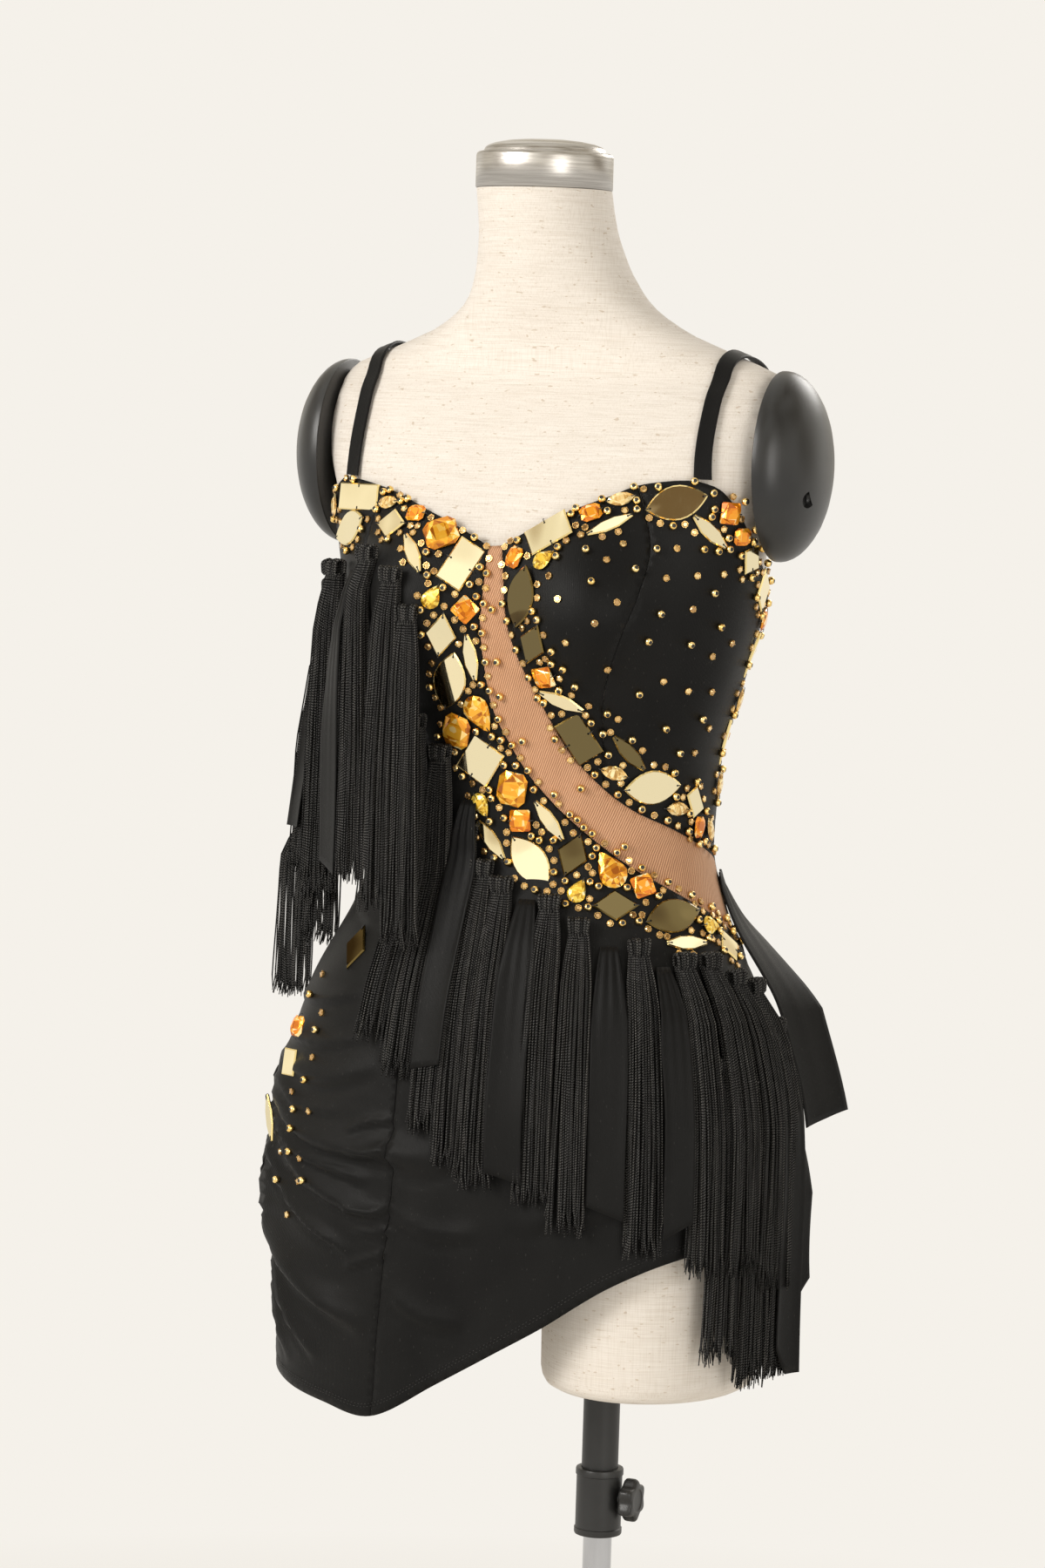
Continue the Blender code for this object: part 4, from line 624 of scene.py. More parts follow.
CLOTH_CLEARANCE = 1.4
CLOTH_WALL = 1.3
PANEL_OUT = 3.0
SEAM_GAP = 0.3
MM_PER_DEGREE = 2.3  # of the flat plan in which a panel is laid out
EDGE_STEP = 4.0
CLOTH_GRID = 5.0
EDGE_ROWS = (1.6, 3.8)  # how far in from its edge a panel's outer rows of points lie
CLEAR_OF_EDGE = 5.2
SEAM_DIP = 0.5
SEAM_DIP_WIDTH = 3.2
FOLD_UNDERCUT = 0.42  # a fold is narrow on its under side and slopes on its upper one
FOLD_SLOPE = 1.2
GROOVE_WIDTH = 0.38  # of a fold's width, of the groove that runs under it
DEEP_FOLD = 3.0  # rise from which the groove has its whole depth
CREST_STEP = 3.0
RIDGE_SHARE = 1.6
CREASE_SHARE = 2.5
TURN_UP = 10.0
TURN_UP_RISE = 0.55
LEAST_CUT = 0.4  # of its flat rectangle that a panel fills

# Smaller creases between the ruching ridges, at the princess seam and at the waist
CREASES = (
    ((-76, 905), (-62, 884), (-45, 884), 1.6, 4), ((-76, 882), (-60, 852), (-34, 838), 2.2, 4.5),
    ((-77, 858), (-62, 812), (-40, 786), 2.4, 5), ((-77, 838), (-72, 760), (-52, 705), 2.4, 6),
    ((-76, 858), (-66, 838), (-52, 822), 1.5, 3.5), ((-77, 826), (-74, 745), (-64, 697), 2.0, 5),
    ((-77, 930), (-58, 928), (-38, 938), 1.3, 5), ((-78, 955), (-60, 958), (-44, 968), 1.0, 5),
    ((-26, 884), (-34, 880), (-42, 872), 1.6, 3.5), ((-26, 866), (-33, 858), (-41, 856), 1.4, 3.5),
    ((-26, 822), (-33, 817), (-42, 818), 1.8, 3.5), ((-26, 806), (-32, 803), (-40, 800), 1.3, 3),
    ((-27, 790), (-33, 784), (-42, 776), 1.2, 3), ((-22, 850), (-10, 852), (4, 866), 1.1, 6),
    ((-22, 815), (-8, 808), (10, 812), 1.0, 7), ((-24, 760), (-12, 748), (4, 748), 1.1, 8),
    ((-77, 896), (-92, 866), (-112, 862), 2.0, 4.5), ((-77, 870), (-92, 822), (-118, 796), 2.2, 5),
    ((-77, 850), (-86, 770), (-104, 716), 2.2, 5.5), ((-77, 912), (-98, 912), (-122, 924), 1.4, 5),
    ((-77, 836), (-80, 752), (-88, 702), 1.8, 5), ((-104, 1120), (-122, 1098), (-146, 1090), 0.9, 6),
    ((-104, 1090), (-124, 1074), (-150, 1072), 0.9, 6), ((104, 1000), (124, 1034), (150, 1052), 0.9, 7),
    ((104, 1040), (126, 1062), (152, 1078), 0.9, 6), ((160, 880), (180, 868), (204, 872), 1.1, 9),
    ((128, 838), (152, 826), (182, 812), 1.0, 9), ((-104, 1190), (-92, 1180), (-82, 1166), 0.8, 5),
    ((-104, 1160), (-94, 1146), (-84, 1128), 0.8, 5), ((-48, 1185), (-60, 1172), (-76, 1160), 0.7, 6),
    ((-46, 1150), (-58, 1142), (-74, 1136), 0.7, 6), ((-40, 1010), (-56, 1018), (-74, 1036), 0.8, 7),
    ((30, 870), (52, 888), (80, 898), 1.0, 8), ((24, 820), (50, 836), (78, 850), 0.9, 9),
)


def curve(spots, step=EDGE_STEP):
    """Return a smooth curve through the spots, with a point about every step, as an array."""
    spots = np.array(spots, float)
    padded = np.vstack([spots[:1], spots, spots[-1:]])
    lengths = np.linalg.norm(np.diff(on_figure(*spots.T), axis=0), axis=1)
    points = [spots[:1]]
    for k, length in enumerate(lengths):
        steps = max(1, round(length / step))
        t = (np.arange(1, steps + 1) / steps)[:, None]
        p0, p1, p2, p3 = padded[k:k + 4]
        points.append(0.5 * (2 * p1 + (p2 - p0) * t + (2 * p0 - 5 * p1 + 4 * p2 - p3) * t ** 2
                             + (3 * p1 - p0 - 3 * p2 + p3) * t ** 3))
    return np.vstack(points)


def join(*edges):
    return np.vstack([points[:-1] for points in edges])


def round_the_back(points):
    """Give an edge on the wearer's right the angle that it has counted past the back."""
    return points + np.stack([np.where(points[:, 0] < 0, 360.0, 0.0), 0 * points[:, 0]], axis=1)


def plan(spots):
    return np.asarray(spots, float) * (MM_PER_DEGREE, 1.0)


def unit(vectors):
    return vectors / np.linalg.norm(vectors, axis=-1, keepdims=True)


def run_along(places):
    """Return how far along a line each of its places lies."""
    return np.concatenate([[0], np.cumsum(np.linalg.norm(np.diff(places, axis=0), axis=1))])


def marked(line, run, marks):
    """Return the points of a line that lie at marks along it."""
    return np.stack([np.interp(marks, run, column) for column in line.T], axis=1)


def away_from(line, points, closed=False):
    """Return each point's distance from a line of the plan."""
    starts = line if closed else line[:-1]
    runs = (np.roll(line, -1, axis=0) if closed else line[1:]) - starts
    best = np.full(len(points), 1e9)
    for start, run in zip(starts, runs):
        off = points - start
        share = np.clip(off @ run / max(run @ run, 1e-9), 0, 1)
        best = np.minimum(best, np.hypot(*(off - share[:, None] * run).T))
    return best


def inside(outline, points):
    """Say which points of the plan an outline encloses."""
    hit = np.zeros(len(points), bool)
    x, y = points.T
    for a, b in zip(outline, np.roll(outline, -1, axis=0)):
        if a[1] != b[1]:
            crosses = (a[1] > y) != (b[1] > y)
            hit ^= crosses & (x < a[0] + (y - a[1]) * (b[0] - a[0]) / (b[1] - a[1]))
    return hit


def inset(outline, distance):
    """Draw an outline of the plan inwards, and run it anticlockwise."""
    before = np.roll(outline, 1, axis=0)
    if np.sum(before[:, 0] * outline[:, 1] - before[:, 1] * outline[:, 0]) < 0:
        outline = outline[::-1]
    back = unit(outline - np.roll(outline, 1, axis=0))
    ahead = np.roll(back, -1, axis=0)
    inward = np.stack([-back[:, 1] - ahead[:, 1], back[:, 0] + ahead[:, 0]], axis=1)
    size = np.linalg.norm(inward, axis=1)[:, None]
    return outline + inward / size * distance / np.maximum(0.35, size / 2)


def fold_crests(folds):
    return [(rise, width, plan(curve(crest, CREST_STEP))) for *crest, rise, width in folds]


RIDGES = fold_crests(FOLDS)
CREASE_LINES = fold_crests(CREASES)


def lifted(points, crests, open_end):
    """Return how far a set of folds lifts the cloth at points of the plan."""
    rise, sunk = np.zeros(len(points)), np.zeros(len(points))
    for turn in (-360 * MM_PER_DEGREE, 0):
        here = points + (turn, 0)
        for own_rise, own_width, crest in crests:
            away = np.full(len(points), 1e9)
            share = np.zeros(len(points))
            below = np.zeros(len(points), bool)
            along = np.gradient(crest, axis=0)
            facing = 1 if crest[-1, 0] > crest[0, 0] else -1
            for i, (place, run) in enumerate(zip(crest, along)):
                off = here - place
                distance = np.hypot(*off.T)
                nearer = distance < away
                share = np.where(nearer, i / (len(crest) - 1), share)
                below = np.where(nearer, (run[0] * off[:, 1] - run[1] * off[:, 0]) * facing < 0, below)
                away = np.minimum(away, distance)
            fade = np.minimum(1.0, 1.6 * np.sin(np.pi * (open_end + (1 - open_end) * share)))
            width = own_width * np.where(below, FOLD_UNDERCUT, FOLD_SLOPE)
            groove = np.where(below, np.exp(-((away / own_width - 1.0) / GROOVE_WIDTH) ** 2), 0.0)
            sunk = np.maximum(sunk, fade * groove * min(1.0, own_rise / DEEP_FOLD))
            rise = np.maximum(rise, own_rise * fade * np.exp(-(away / width) ** 2))
    return rise - sunk * np.exp(-rise)


def ripples(points, seed, size_x, size_y):
    """Return smooth irregular waves between -1 and 1, of a size across and down the plan."""
    draw = np.random.default_rng(seed)
    total = np.zeros(len(points))
    for _ in range(14):
        lean, phase = draw.uniform(-0.5, 0.5), draw.uniform(0, math.tau)
        wave_x, wave_y = draw.uniform(0.6, 1.6, 2)
        total += np.sin(math.tau * (points[:, 0] * wave_x / size_x * (1 + lean)
                                    + points[:, 1] * wave_y / size_y * draw.choice((-1, 1))) + phase)
    return total / 6


def cloth_out(points, open_edges=(), outline=None):
    """Return how far out from the figure the cloth's face lies, at points of the plan."""
    angle, height = points[:, 0] / MM_PER_DEGREE, points[:, 1]
    round_seam = np.exp(-(((angle + 180) % 360 - 180 + 77) / 42) ** 2)
    drawn = round_seam * np.clip((935 - height) / 40, 0, 1)
    out = PANEL_OUT + RIDGE_SHARE * lifted(points, RIDGES, 0.18)
    out += CREASE_SHARE * lifted(points, CREASE_LINES, 0.1)
    out += 0.55 * drawn * ripples(points, 5, 90, 17) + 0.22 * ripples(points, 11, 70, 60)
    for line in open_edges:
        near = away_from(plan(line), points)
        out = out + TURN_UP_RISE * np.clip((TURN_UP - near) / 1.2, 0, 1)
    if outline is not None:
        near = away_from(outline, points, closed=True)
        out = out - SEAM_DIP * np.clip(1 - near / SEAM_DIP_WIDTH, 0, 1) ** 1.5
    return out


def panel_points(outline, grid):
    """Return the points inside a panel: rows drawn in from its edge, then a staggered grid."""
    low, high = outline.min(axis=0), outline.max(axis=0)
    rows = np.arange(low[1], high[1], grid * 0.87)
    x, y = np.meshgrid(np.arange(low[0], high[0], grid), rows)
    x = x + (np.arange(len(rows)) % 2)[:, None] * grid / 2
    spread = np.stack([x.ravel(), y.ravel()], axis=1)
    spread = spread[inside(outline, spread)]
    spread = spread[away_from(outline, spread, closed=True) > CLEAR_OF_EDGE]
    kept = []
    for distance in EDGE_ROWS:
        line = inset(outline, distance)[::2]
        line = line[inside(outline, line)]
        kept.append(line[away_from(outline, line, closed=True) > distance * 0.8])
    return np.vstack(kept + [spread])


def sheet_piece(name, points, faces, uv):
    """Make a mesh from points in millimetres, with one flat coordinate for each point."""
    mesh = bpy.data.meshes.new(name)
    mesh.from_pydata((np.asarray(points) * MM).tolist(), [], [list(face) for face in faces])
    layer = mesh.uv_layers.new(name="UVMap")
    corners = [loop.vertex_index for loop in mesh.loops]
    layer.data.foreach_set("uv", np.asarray(uv, np.float32)[corners].ravel())
    mesh.shade_smooth()
    return linked(name, mesh)


def flat_area(points, faces):
    a, b, c = np.asarray(points)[np.asarray(faces)].swapaxes(0, 1)
    return np.linalg.norm(np.cross(b - a, c - a), axis=1).sum() / 2


def cloth_panel(name, outline_spots, open_edges, material, slot, held="stretched", grid=CLOTH_GRID):
    """Make one panel as a thin wall on its solid's form, sunk a little along its seams."""
    outline = inset(plan(outline_spots), SEAM_GAP * 0.62)
    points = np.vstack([outline, panel_points(outline, grid)])
    flat, _, faces, _, _, sources = delaunay_2d_cdt(
        [Vector(point) for point in points], [], [list(range(len(outline)))], 0, 1e-5, True)
    faces = [face for face, source in zip(faces, sources) if 0 in source]
    flat = np.array([tuple(point) for point in flat])
    out = cloth_out(flat, open_edges, outline)
    places = on_figure(flat[:, 0] / MM_PER_DEGREE, flat[:, 1], out)
    piece = sheet_piece(name + "_cloth", places, faces, flat * MM)
    area = flat_area(places, faces) * MM * MM
    apply_modifier(piece, "SOLIDIFY", thickness=CLOTH_WALL * MM, offset=-1.0)
    placed(piece, "form", slot, material, name)
    width, length = np.ptp(flat, axis=0) * MM * 1.03
    width = float(np.clip(width, area / length, area / length / LEAST_CUT))


def jersey():
    made, tree, shader = principled("black_crepe_jersey", {
        "Roughness": 0.46, "Specular IOR Level": 0.105, "Sheen Weight": 0.03, "Sheen Roughness": 0.4,
        "Sheen Tint": (0.9, 0.9, 0.9, 1)})
    flat = coordinate(tree, "UV")
    wales = node(tree, "TexWave", {"Vector": flat, "Scale": 330.0, "Distortion": 1.6, "Detail": 2.0,
                                   "Detail Scale": 3.0})
    crepe = streaks(tree, flat, (1500, 900, 1))
    cloudy = streaks(tree, flat, (16, 11, 1), detail=4.0)
    lint = streaks(tree, flat, (820, 300, 1), detail=0.0)
    tone = ramp(tree, cloudy, [(0.32, (0.0050, 0.0049, 0.0048)), (0.68, (0.0085, 0.0083, 0.0080))])
    fluff = maths(tree, "MULTIPLY", maths(tree, "GREATER_THAN", lint, 0.80), 0.35)
    feed(tree, shader, {"Base Color": mix_colour(tree, "MIX", fluff, tone, (0.05, 0.048, 0.045, 1))})
    wales = maths(tree, "MULTIPLY", wales.outputs["Fac"], 0.5)
    bump(tree, shader, maths(tree, "ADD", wales, crepe), 0.45, 0.00025)
    return made


def ribbed_mesh():
    made, tree, shader = principled("nude_ribbed_mesh", {
        "Roughness": 0.62, "Specular IOR Level": 0.35, "Sheen Weight": 0.25, "Sheen Roughness": 0.4,
        "Sheen Tint": (1.0, 0.86, 0.70, 1)})
    flat = coordinate(tree, "UV")
    slanted = node(tree, "Mapping", {"Vector": flat, "Rotation": (0, 0, math.radians(24))})
    ribs = node(tree, "TexWave", {"Vector": slanted.outputs["Vector"], "Scale": 165.0, "Distortion": 1.2,
                                  "Detail": 1.0})
    holes = node(tree, "TexVoronoi", {"Vector": slanted.outputs["Vector"], "Scale": 1500.0})
    cloudy = streaks(tree, flat, (30, 24, 1))
    tone = ramp(tree, ribs.outputs["Fac"], [(0.05, (0.34, 0.160, 0.076)), (0.5, (0.53, 0.28, 0.152)),
                                            (0.95, (0.64, 0.37, 0.220))])
    tone = darkened(tree, tone, 0.5, holes.outputs["Distance"], [
        (0.12, (0.55, 0.45, 0.38)), (0.4, 1)])
    tone = darkened(tree, tone, 0.6, cloudy, [(0.3, (0.86, 0.82, 0.78)), (0.6, 1)])
    feed(tree, shader, {"Base Color": tone})
    bump(tree, shader, ribs.outputs["Fac"], 0.6, 0.0004)
    return made


black_jersey = jersey()
nude_mesh = ribbed_mesh()
neck_left, neck_right = curve(LEFT_NECKLINE), curve(RIGHT_NECKLINE)
upper, lower = curve(INSET_UPPER_EDGE), curve(INSET_LOWER_EDGE)
hem, back_hem, back_neck = curve(HEM), curve(BACK_HEM), curve(BACK_NECKLINE)
cup_seam, princess = curve(CUP_SEAM), curve(RIGHT_PRINCESS_SEAM)
left_armhole, right_armhole = curve(LEFT_ARMHOLE), curve(RIGHT_ARMHOLE)
side_right, side_upper = curve(RIGHT_SIDE_SEAM), curve(LEFT_SIDE_SEAM_UPPER)
side_inset, side_lower = curve(LEFT_SIDE_SEAM_INSET), curve(LEFT_SIDE_SEAM_LOWER)


def nearest(line, spot):
    return int(np.argmin(np.abs(line[:, 0] - spot[0])))


split_left, split_right = nearest(neck_left, CUP_SEAM[0]), nearest(neck_right, RIGHT_PRINCESS_SEAM[0])
split_upper, split_hem = nearest(upper, CUP_SEAM[-1]), nearest(hem, RIGHT_PRINCESS_SEAM[-1])
knit = (black_jersey, "black_knit")
cloth_panel("left_cup_front", join(neck_left[:split_left + 1], cup_seam, upper[split_upper::-1]),
            (neck_left,), *knit, grid=4.0)
cloth_panel("left_cup_side", join(neck_left[split_left:], left_armhole, side_upper,
                                  upper[:split_upper - 1:-1], cup_seam[::-1]),
            (neck_left, left_armhole), *knit)
cloth_panel("mesh_inset", join(upper, side_inset, lower[::-1], np.array([lower[0], upper[0]])),
            (), nude_mesh, "nude_mesh", grid=4.0)
cloth_panel("front_main", join(neck_right[split_right::-1], lower, side_lower,
                               hem[:split_hem - 1:-1], princess[::-1]), (neck_right, hem), *knit)
cloth_panel("right_side_front", join(neck_right[split_right:], right_armhole, side_right,
                                     hem[:split_hem + 1], princess[::-1]),
            (neck_right, right_armhole, hem), *knit, held="gathered", grid=3.4)
cloth_panel("back", join(back_neck, round_the_back(side_right), back_hem[::-1], side_lower[::-1],
                         side_inset[::-1], side_upper[::-1]), (back_neck, back_hem), *knit)


# ---------------------------------------------------------------- stitching
# Twin rows of black thread hold the turned-up hem, and one row each neckline and armhole.
# They are machine stitches about 2.2 mm long, sunk a little into the jersey.
STITCH_LENGTH = 2.2
STITCH_STEP = 3.0
THREAD = 0.28
THREAD_RISE = 1.3  # of its radius that a stitch rises from the cloth
FIGURE_CENTRE_Y = -20.0


def beside(line, distance):
    """Return a line of spots run alongside another, to its left where the distance is positive."""
    flat = plan(line)
    along = unit(np.gradient(flat, axis=0))
    return (flat + np.stack([-along[:, 1], along[:, 0]], axis=1) * distance) / (MM_PER_DEGREE, 1.0)


def stitch_rows(name, rows, material):
    """Lay a row of long eight-sided stitches along each line of spots."""
    points, faces = [], []
    for line, open_edges in rows:
        places = on_figure(*line.T, cloth_out(plan(line), open_edges))
        run = run_along(places)
        marks = np.arange(0, run[-1] - STITCH_LENGTH, STITCH_STEP)
        for start, end in zip(marked(places, run, marks), marked(places, run, marks + STITCH_LENGTH)):
            out = unit(np.array([start[0], start[1] - FIGURE_CENTRE_Y, 0.0])) * THREAD
            wide = unit(np.cross(end - start, out)) * THREAD
            middle = (start + end) / 2
            first = len(points)
            points += [start, end, middle + wide, middle + out * THREAD_RISE, middle - wide, middle - out]
            faces += [(first + a, first + b, first + c) for a, b, c in (
                (0, 2, 3), (0, 3, 4), (0, 4, 5), (0, 5, 2), (1, 3, 2), (1, 4, 3), (1, 5, 4), (1, 2, 5))]
    piece = sheet_piece(name, points, faces, np.zeros((len(points), 2)))
    placed(piece, "form", "black_knit", material)


black_thread = worn("black_sewing_thread", {"Roughness": 0.5, "Specular IOR Level": 0.4},
                          1800, 1.0, [(0.35, 0.012), (0.7, (0.045, 0.043, 0.040))])
hem_spots, back_hem_spots = curve(HEM, 2.0), curve(BACK_HEM, 2.0)
edges_stitched = [(beside(line, gap), (line,)) for gap in (7.0, 9.0)
                  for line in (hem_spots, back_hem_spots)]
edges_stitched += [(beside(curve(line, 2.0), side * 7.5), (curve(line, 2.0),)) for line, side in (
    (LEFT_ARMHOLE, -1), (RIGHT_ARMHOLE, 1), (BACK_NECKLINE, -1), (LEFT_NECKLINE, -1), (RIGHT_NECKLINE, 1))]
stitch_rows("edge_stitching", edges_stitched, black_thread)


# ---------------------------------------------------------------- shoulder straps
# Two flat straps of the same jersey, turned through and edge-stitched. Each runs over the
# shoulder from the top of a front neckline to the back one.
STRAP_WIDTH = 11.0
STRAP_WALL = 2.0
STRAP_CLEARANCE = 1.9
STRAP_HALF_SPACING = 133.0
LEFT_STRAP_ENDS = ((68, 1334), (126, 1236))
RIGHT_STRAP_ENDS = ((-66, 1327.5), (-126, 1236))
STRAP_STEPS = 72
STRAP_HUB = np.array((0.0, -8.0, 1330.0))
STRAP_SECTION = ((-0.5, 0.1), (-0.47, 0.0), (-0.2, 0.0), (0.2, 0.0), (0.47, 0.0), (0.5, 0.1), (0.5, 0.75),
                 (0.46, 0.98), (0.36, 0.86), (0.0, 1.0), (-0.36, 0.86), (-0.46, 0.98), (-0.5, 0.75))


def figure_from(inner, direction):
    """Return where a ray from inside the figure leaves it."""
    near, far = 0.0, 260.0
    while far - near > 0.01:
        middle = (near + far) / 2
        point = inner + direction * middle
        centre = float(figure_at(point[2])[3])
        angle = math.degrees(math.atan2(point[0], -(point[1] - centre)))
        reach = on_figure(angle, point[2])
        if math.hypot(point[0], point[1] - centre) < math.hypot(reach[0], reach[1] - centre):
            near = middle
        else:
            far = middle
    return inner + direction * near


def strap(name, side, ends, material):
    places = [on_figure(*end) for end in ends]
    turns = [math.atan2(place[2] - STRAP_HUB[2], place[1] - STRAP_HUB[1]) for place in places]
    turns[0] += math.tau if turns[0] < 0 else 0
    rails = []
    for i in range(STRAP_STEPS + 1):
        share = i / STRAP_STEPS
        turn = turns[0] + (turns[1] - turns[0]) * share
        lift = math.sin(math.pi * share) ** 0.8
        end_x = places[0][0] + (places[1][0] - places[0][0]) * share
        x = end_x + (side * STRAP_HALF_SPACING - end_x) * lift
        ray = np.array((0, math.cos(turn), math.sin(turn)))
        rails.append([figure_from(np.array((x + edge, *STRAP_HUB[1:])), ray)
                      for edge in (-STRAP_WIDTH / 2, STRAP_WIDTH / 2)])
    rails = np.array(rails)
    middle = rails.mean(axis=1)
    along = np.gradient(middle, axis=0)
    across = rails[:, 1] - rails[:, 0]
    outward = unit(np.cross(along, across))
    outward *= np.sign(np.sum(outward * (middle - STRAP_HUB), axis=1))[:, None]
    points, flat = [], []
    for i in range(STRAP_STEPS + 1):
        for wide, thick in STRAP_SECTION:
            out = STRAP_CLEARANCE + STRAP_WALL * thick
            points.append(middle[i] + across[i] * wide + outward[i] * out)
            flat.append((wide * STRAP_WIDTH * MM, i * 4.0 * MM))
    count = len(STRAP_SECTION)
    numbers = np.arange(len(points)).reshape(-1, count).tolist()
    faces = [(low[j], low[(j + 1) % count], high[(j + 1) % count], high[j])
             for low, high in zip(numbers, numbers[1:]) for j in range(count)]
    faces += [numbers[0][::-1], numbers[-1]]
    piece = sheet_piece(name + "_jersey", points, faces, flat)
    edit_faces(piece)
    face_outwards()
    smooth(piece, 60)
    placed(piece, "form", "black_knit", material, name)


strap("strap_left", 1, LEFT_STRAP_ENDS, black_jersey)
strap("strap_right", -1, RIGHT_STRAP_ENDS, black_jersey)


# ---------------------------------------------------------------- mirror plates and leaves
# Flat acrylic mirrors, 1.8 mm thick with polished bevelled edges and a pale-gold backing. All but
# the smallest plates are drilled near their ends or edges and sewn on with short black threads.
# A mirror has a length and a width, and a crystal also the heights of its girdle and table.
Cut = namedtuple("Cut", "length width girdle table", defaults=(0, 0))
CUTS = {
    "leaf": Cut(44, 24), "plate": Cut(33, 20), "small_plate": Cut(19, 13), "long_plate": Cut(42, 19),
    "bar": Cut(34, 8), "rhombus": Cut(33, 22), "tile": Cut(27, 27), "small_tile": Cut(17, 17),
    "hexagon": Cut(33, 10), "cushion": Cut(24, 21, 2.0, 5.0), "square": Cut(15, 15, 1.8, 4.0),
    "octagon": Cut(15, 12, 1.8, 3.6), "pear": Cut(28, 20, 2.0, 5.0), "small_pear": Cut(18, 13, 1.8, 4.0),
    "navette": Cut(20, 10, 1.8, 3.6),
}
Stone = namedtuple("Stone", "cut angle height turn")
RIGHT_BAND = (
    ("long_plate", -60.5, 1313, 0), ("navette", -73.5, 1306, 60), ("leaf", -63, 1291, 22),
    ("navette", -47, 1310, 5), ("octagon", -33, 1303.5, 0), ("rhombus", -41.5, 1296, 2),
    ("cushion", -21, 1291, 25), ("hexagon", -27.5, 1277, -50), ("plate", -12, 1271, 66),
    ("small_pear", -18.5, 1248, 66), ("square", -9, 1240, 47), ("rhombus", -16.5, 1222, 74),
    ("hexagon", -8, 1207, -83), ("leaf", -17, 1190, 70), ("pear", -6, 1168, -60),
    ("cushion", -17, 1155, 70), ("tile", -7, 1135, -32), ("cushion", 8, 1117, 80),
    ("small_pear", -7, 1104, -58), ("square", 12, 1095, 4), ("hexagon", 24.5, 1096, -50),
    ("hexagon", -2, 1080, -50), ("leaf", 17.5, 1067, -50), ("rhombus", 35, 1073, 72),
    ("pear", 49, 1064, 122), ("small_pear", 37.5, 1049, 65), ("square", 60, 1053, 18),
    ("rhombus", 50.5, 1040, 2), ("leaf", 69, 1033, 9), ("small_pear", 83, 1025, -4),
    ("hexagon", 72, 1015, -2), ("small_tile", 90, 1010, 45),
)
LEFT_BAND = (
    ("octagon", 9.5, 1277, 68), ("plate", 22, 1295, 30), ("small_pear", 21, 1277, 37),
    ("leaf", 13, 1251, 76), ("rhombus", 17.5, 1219, 72), ("square", 21.5, 1197, 14),
    ("hexagon", 27.5, 1180, -22), ("plate", 34.5, 1154, -55), ("hexagon", 52.5, 1145, -44),
    ("navette", 48, 1131, -14), ("leaf", 62, 1121, 4), ("navette", 72, 1106, -2),
    ("small_plate", 80, 1110, -60), ("octagon", 83, 1092, 90), ("navette", 91, 1089, -60),
    ("octagon", 36.5, 1309, 22), ("bar", 42, 1302, 26), ("navette", 46.5, 1319, 14),
    ("leaf", 61, 1318, 14), ("square", 73.5, 1312, -4), ("hexagon", 69, 1299, -40),
    ("octagon", 78, 1296, 0), ("small_tile", 83, 1280, 14), ("rhombus", 93, 1258, 100),
    ("octagon", 99, 1237, 100), ("bar", 98, 1212, 88), ("navette", 97, 1180, 100),
    ("bar", 97, 1150, 95), ("navette", 97, 1120, 90),
)
SKIRT_STONES = (
    ("rhombus", -54, 997, 90), ("octagon", -67, 936, 90), ("small_plate", -66, 911, 90),
    ("bar", -71.5, 868, -72),
)
MIRROR_THICK = 1.8
MIRROR_BEVEL = 0.9
STONE_LIFT = 0.25
HOLE_RADIUS = 0.75
SIDE_INSET = 2.2
END_INSET = 3.4
MIRROR_TILT = 5.0
SEAM_STONE_TURN = 20.0  # of the stones along the ruched side seam, to the front
SEAM_EDGE = -56.0  # angle at which they begin
# Mirrors whose colour is painted dark: a painted reflection of a dark part of the room
MIRRORS_PAINTED_DARK = (
    (13, 1251), (17.5, 1219), (34.5, 1154), (35, 1073), (69, 1033), (50.5, 1040), (-54, 997), (52.5, 1145),
)
LEAF_FULLNESS = 0.97
GLANCING_LEAF = (17.5, 1067)
GLANCING_TILT = (2.0, -6.0)
MIRROR_CUTS = [kind for kind, cut in CUTS.items() if not cut.table]


def cut_corners(share):
    return (1, share), (share, 1), (-share, 1), (-1, share)


# The upper half of each outline from end to end, in shares of half its length and width
HALF_OUTLINES = {
    "rhombus": ((1, 0), (0, 1), (-1, 0)),
    "hexagon": cut_corners(0.3), "bar": cut_corners(0.3),
    "cushion": cut_corners(0.62), "octagon": cut_corners(0.62), "square": cut_corners(0.86),
    "pear": ((1, 0), (0.62, 0.42), (0.25, 0.74), (-0.12, 0.95), (-0.42, 1), (-0.72, 0.78), (-0.93, 0.4),
             (-1, 0)),
    "navette": ((1, 0), (0.76, 0.42), (0.45, 0.8), (0, 1), (-0.45, 0.8), (-0.76, 0.42), (-1, 0)),
}


def stone_outline(kind):
    """Return a stone's outline about its own centre, its length along X."""
    half, wide = CUTS[kind].length / 2, CUTS[kind].width / 2
    if kind == "leaf":
        across = half * np.sin(np.linspace(-math.pi / 2, math.pi / 2, 15))
        side = wide * (1 - (across / half) ** 2) ** LEAF_FULLNESS
        return list(zip(across, -side)) + list(zip(across[-2:0:-1], side[-2:0:-1]))
    upper = HALF_OUTLINES.get(kind.removeprefix("small_"), ((1, 1), (-1, 1)))
    lower = [(x, -y) for x, y in upper[::-1] if y]
    return [(x * half, y * wide) for x, y in (*upper, *lower)]


def hole_places(kind):
    """Return where a mirror is drilled, and the way from there to its nearest edge."""
    half, wide = CUTS[kind].length / 2, CUTS[kind].width / 2
    if kind == "small_plate":
        return []
    if kind in ("plate", "long_plate", "tile", "small_tile"):
        return [(0, side * (wide - SIDE_INSET), 0, side) for side in (1, -1)]
    return [(end * (half - END_INSET), 0, end, 0) for end in (1, -1)]


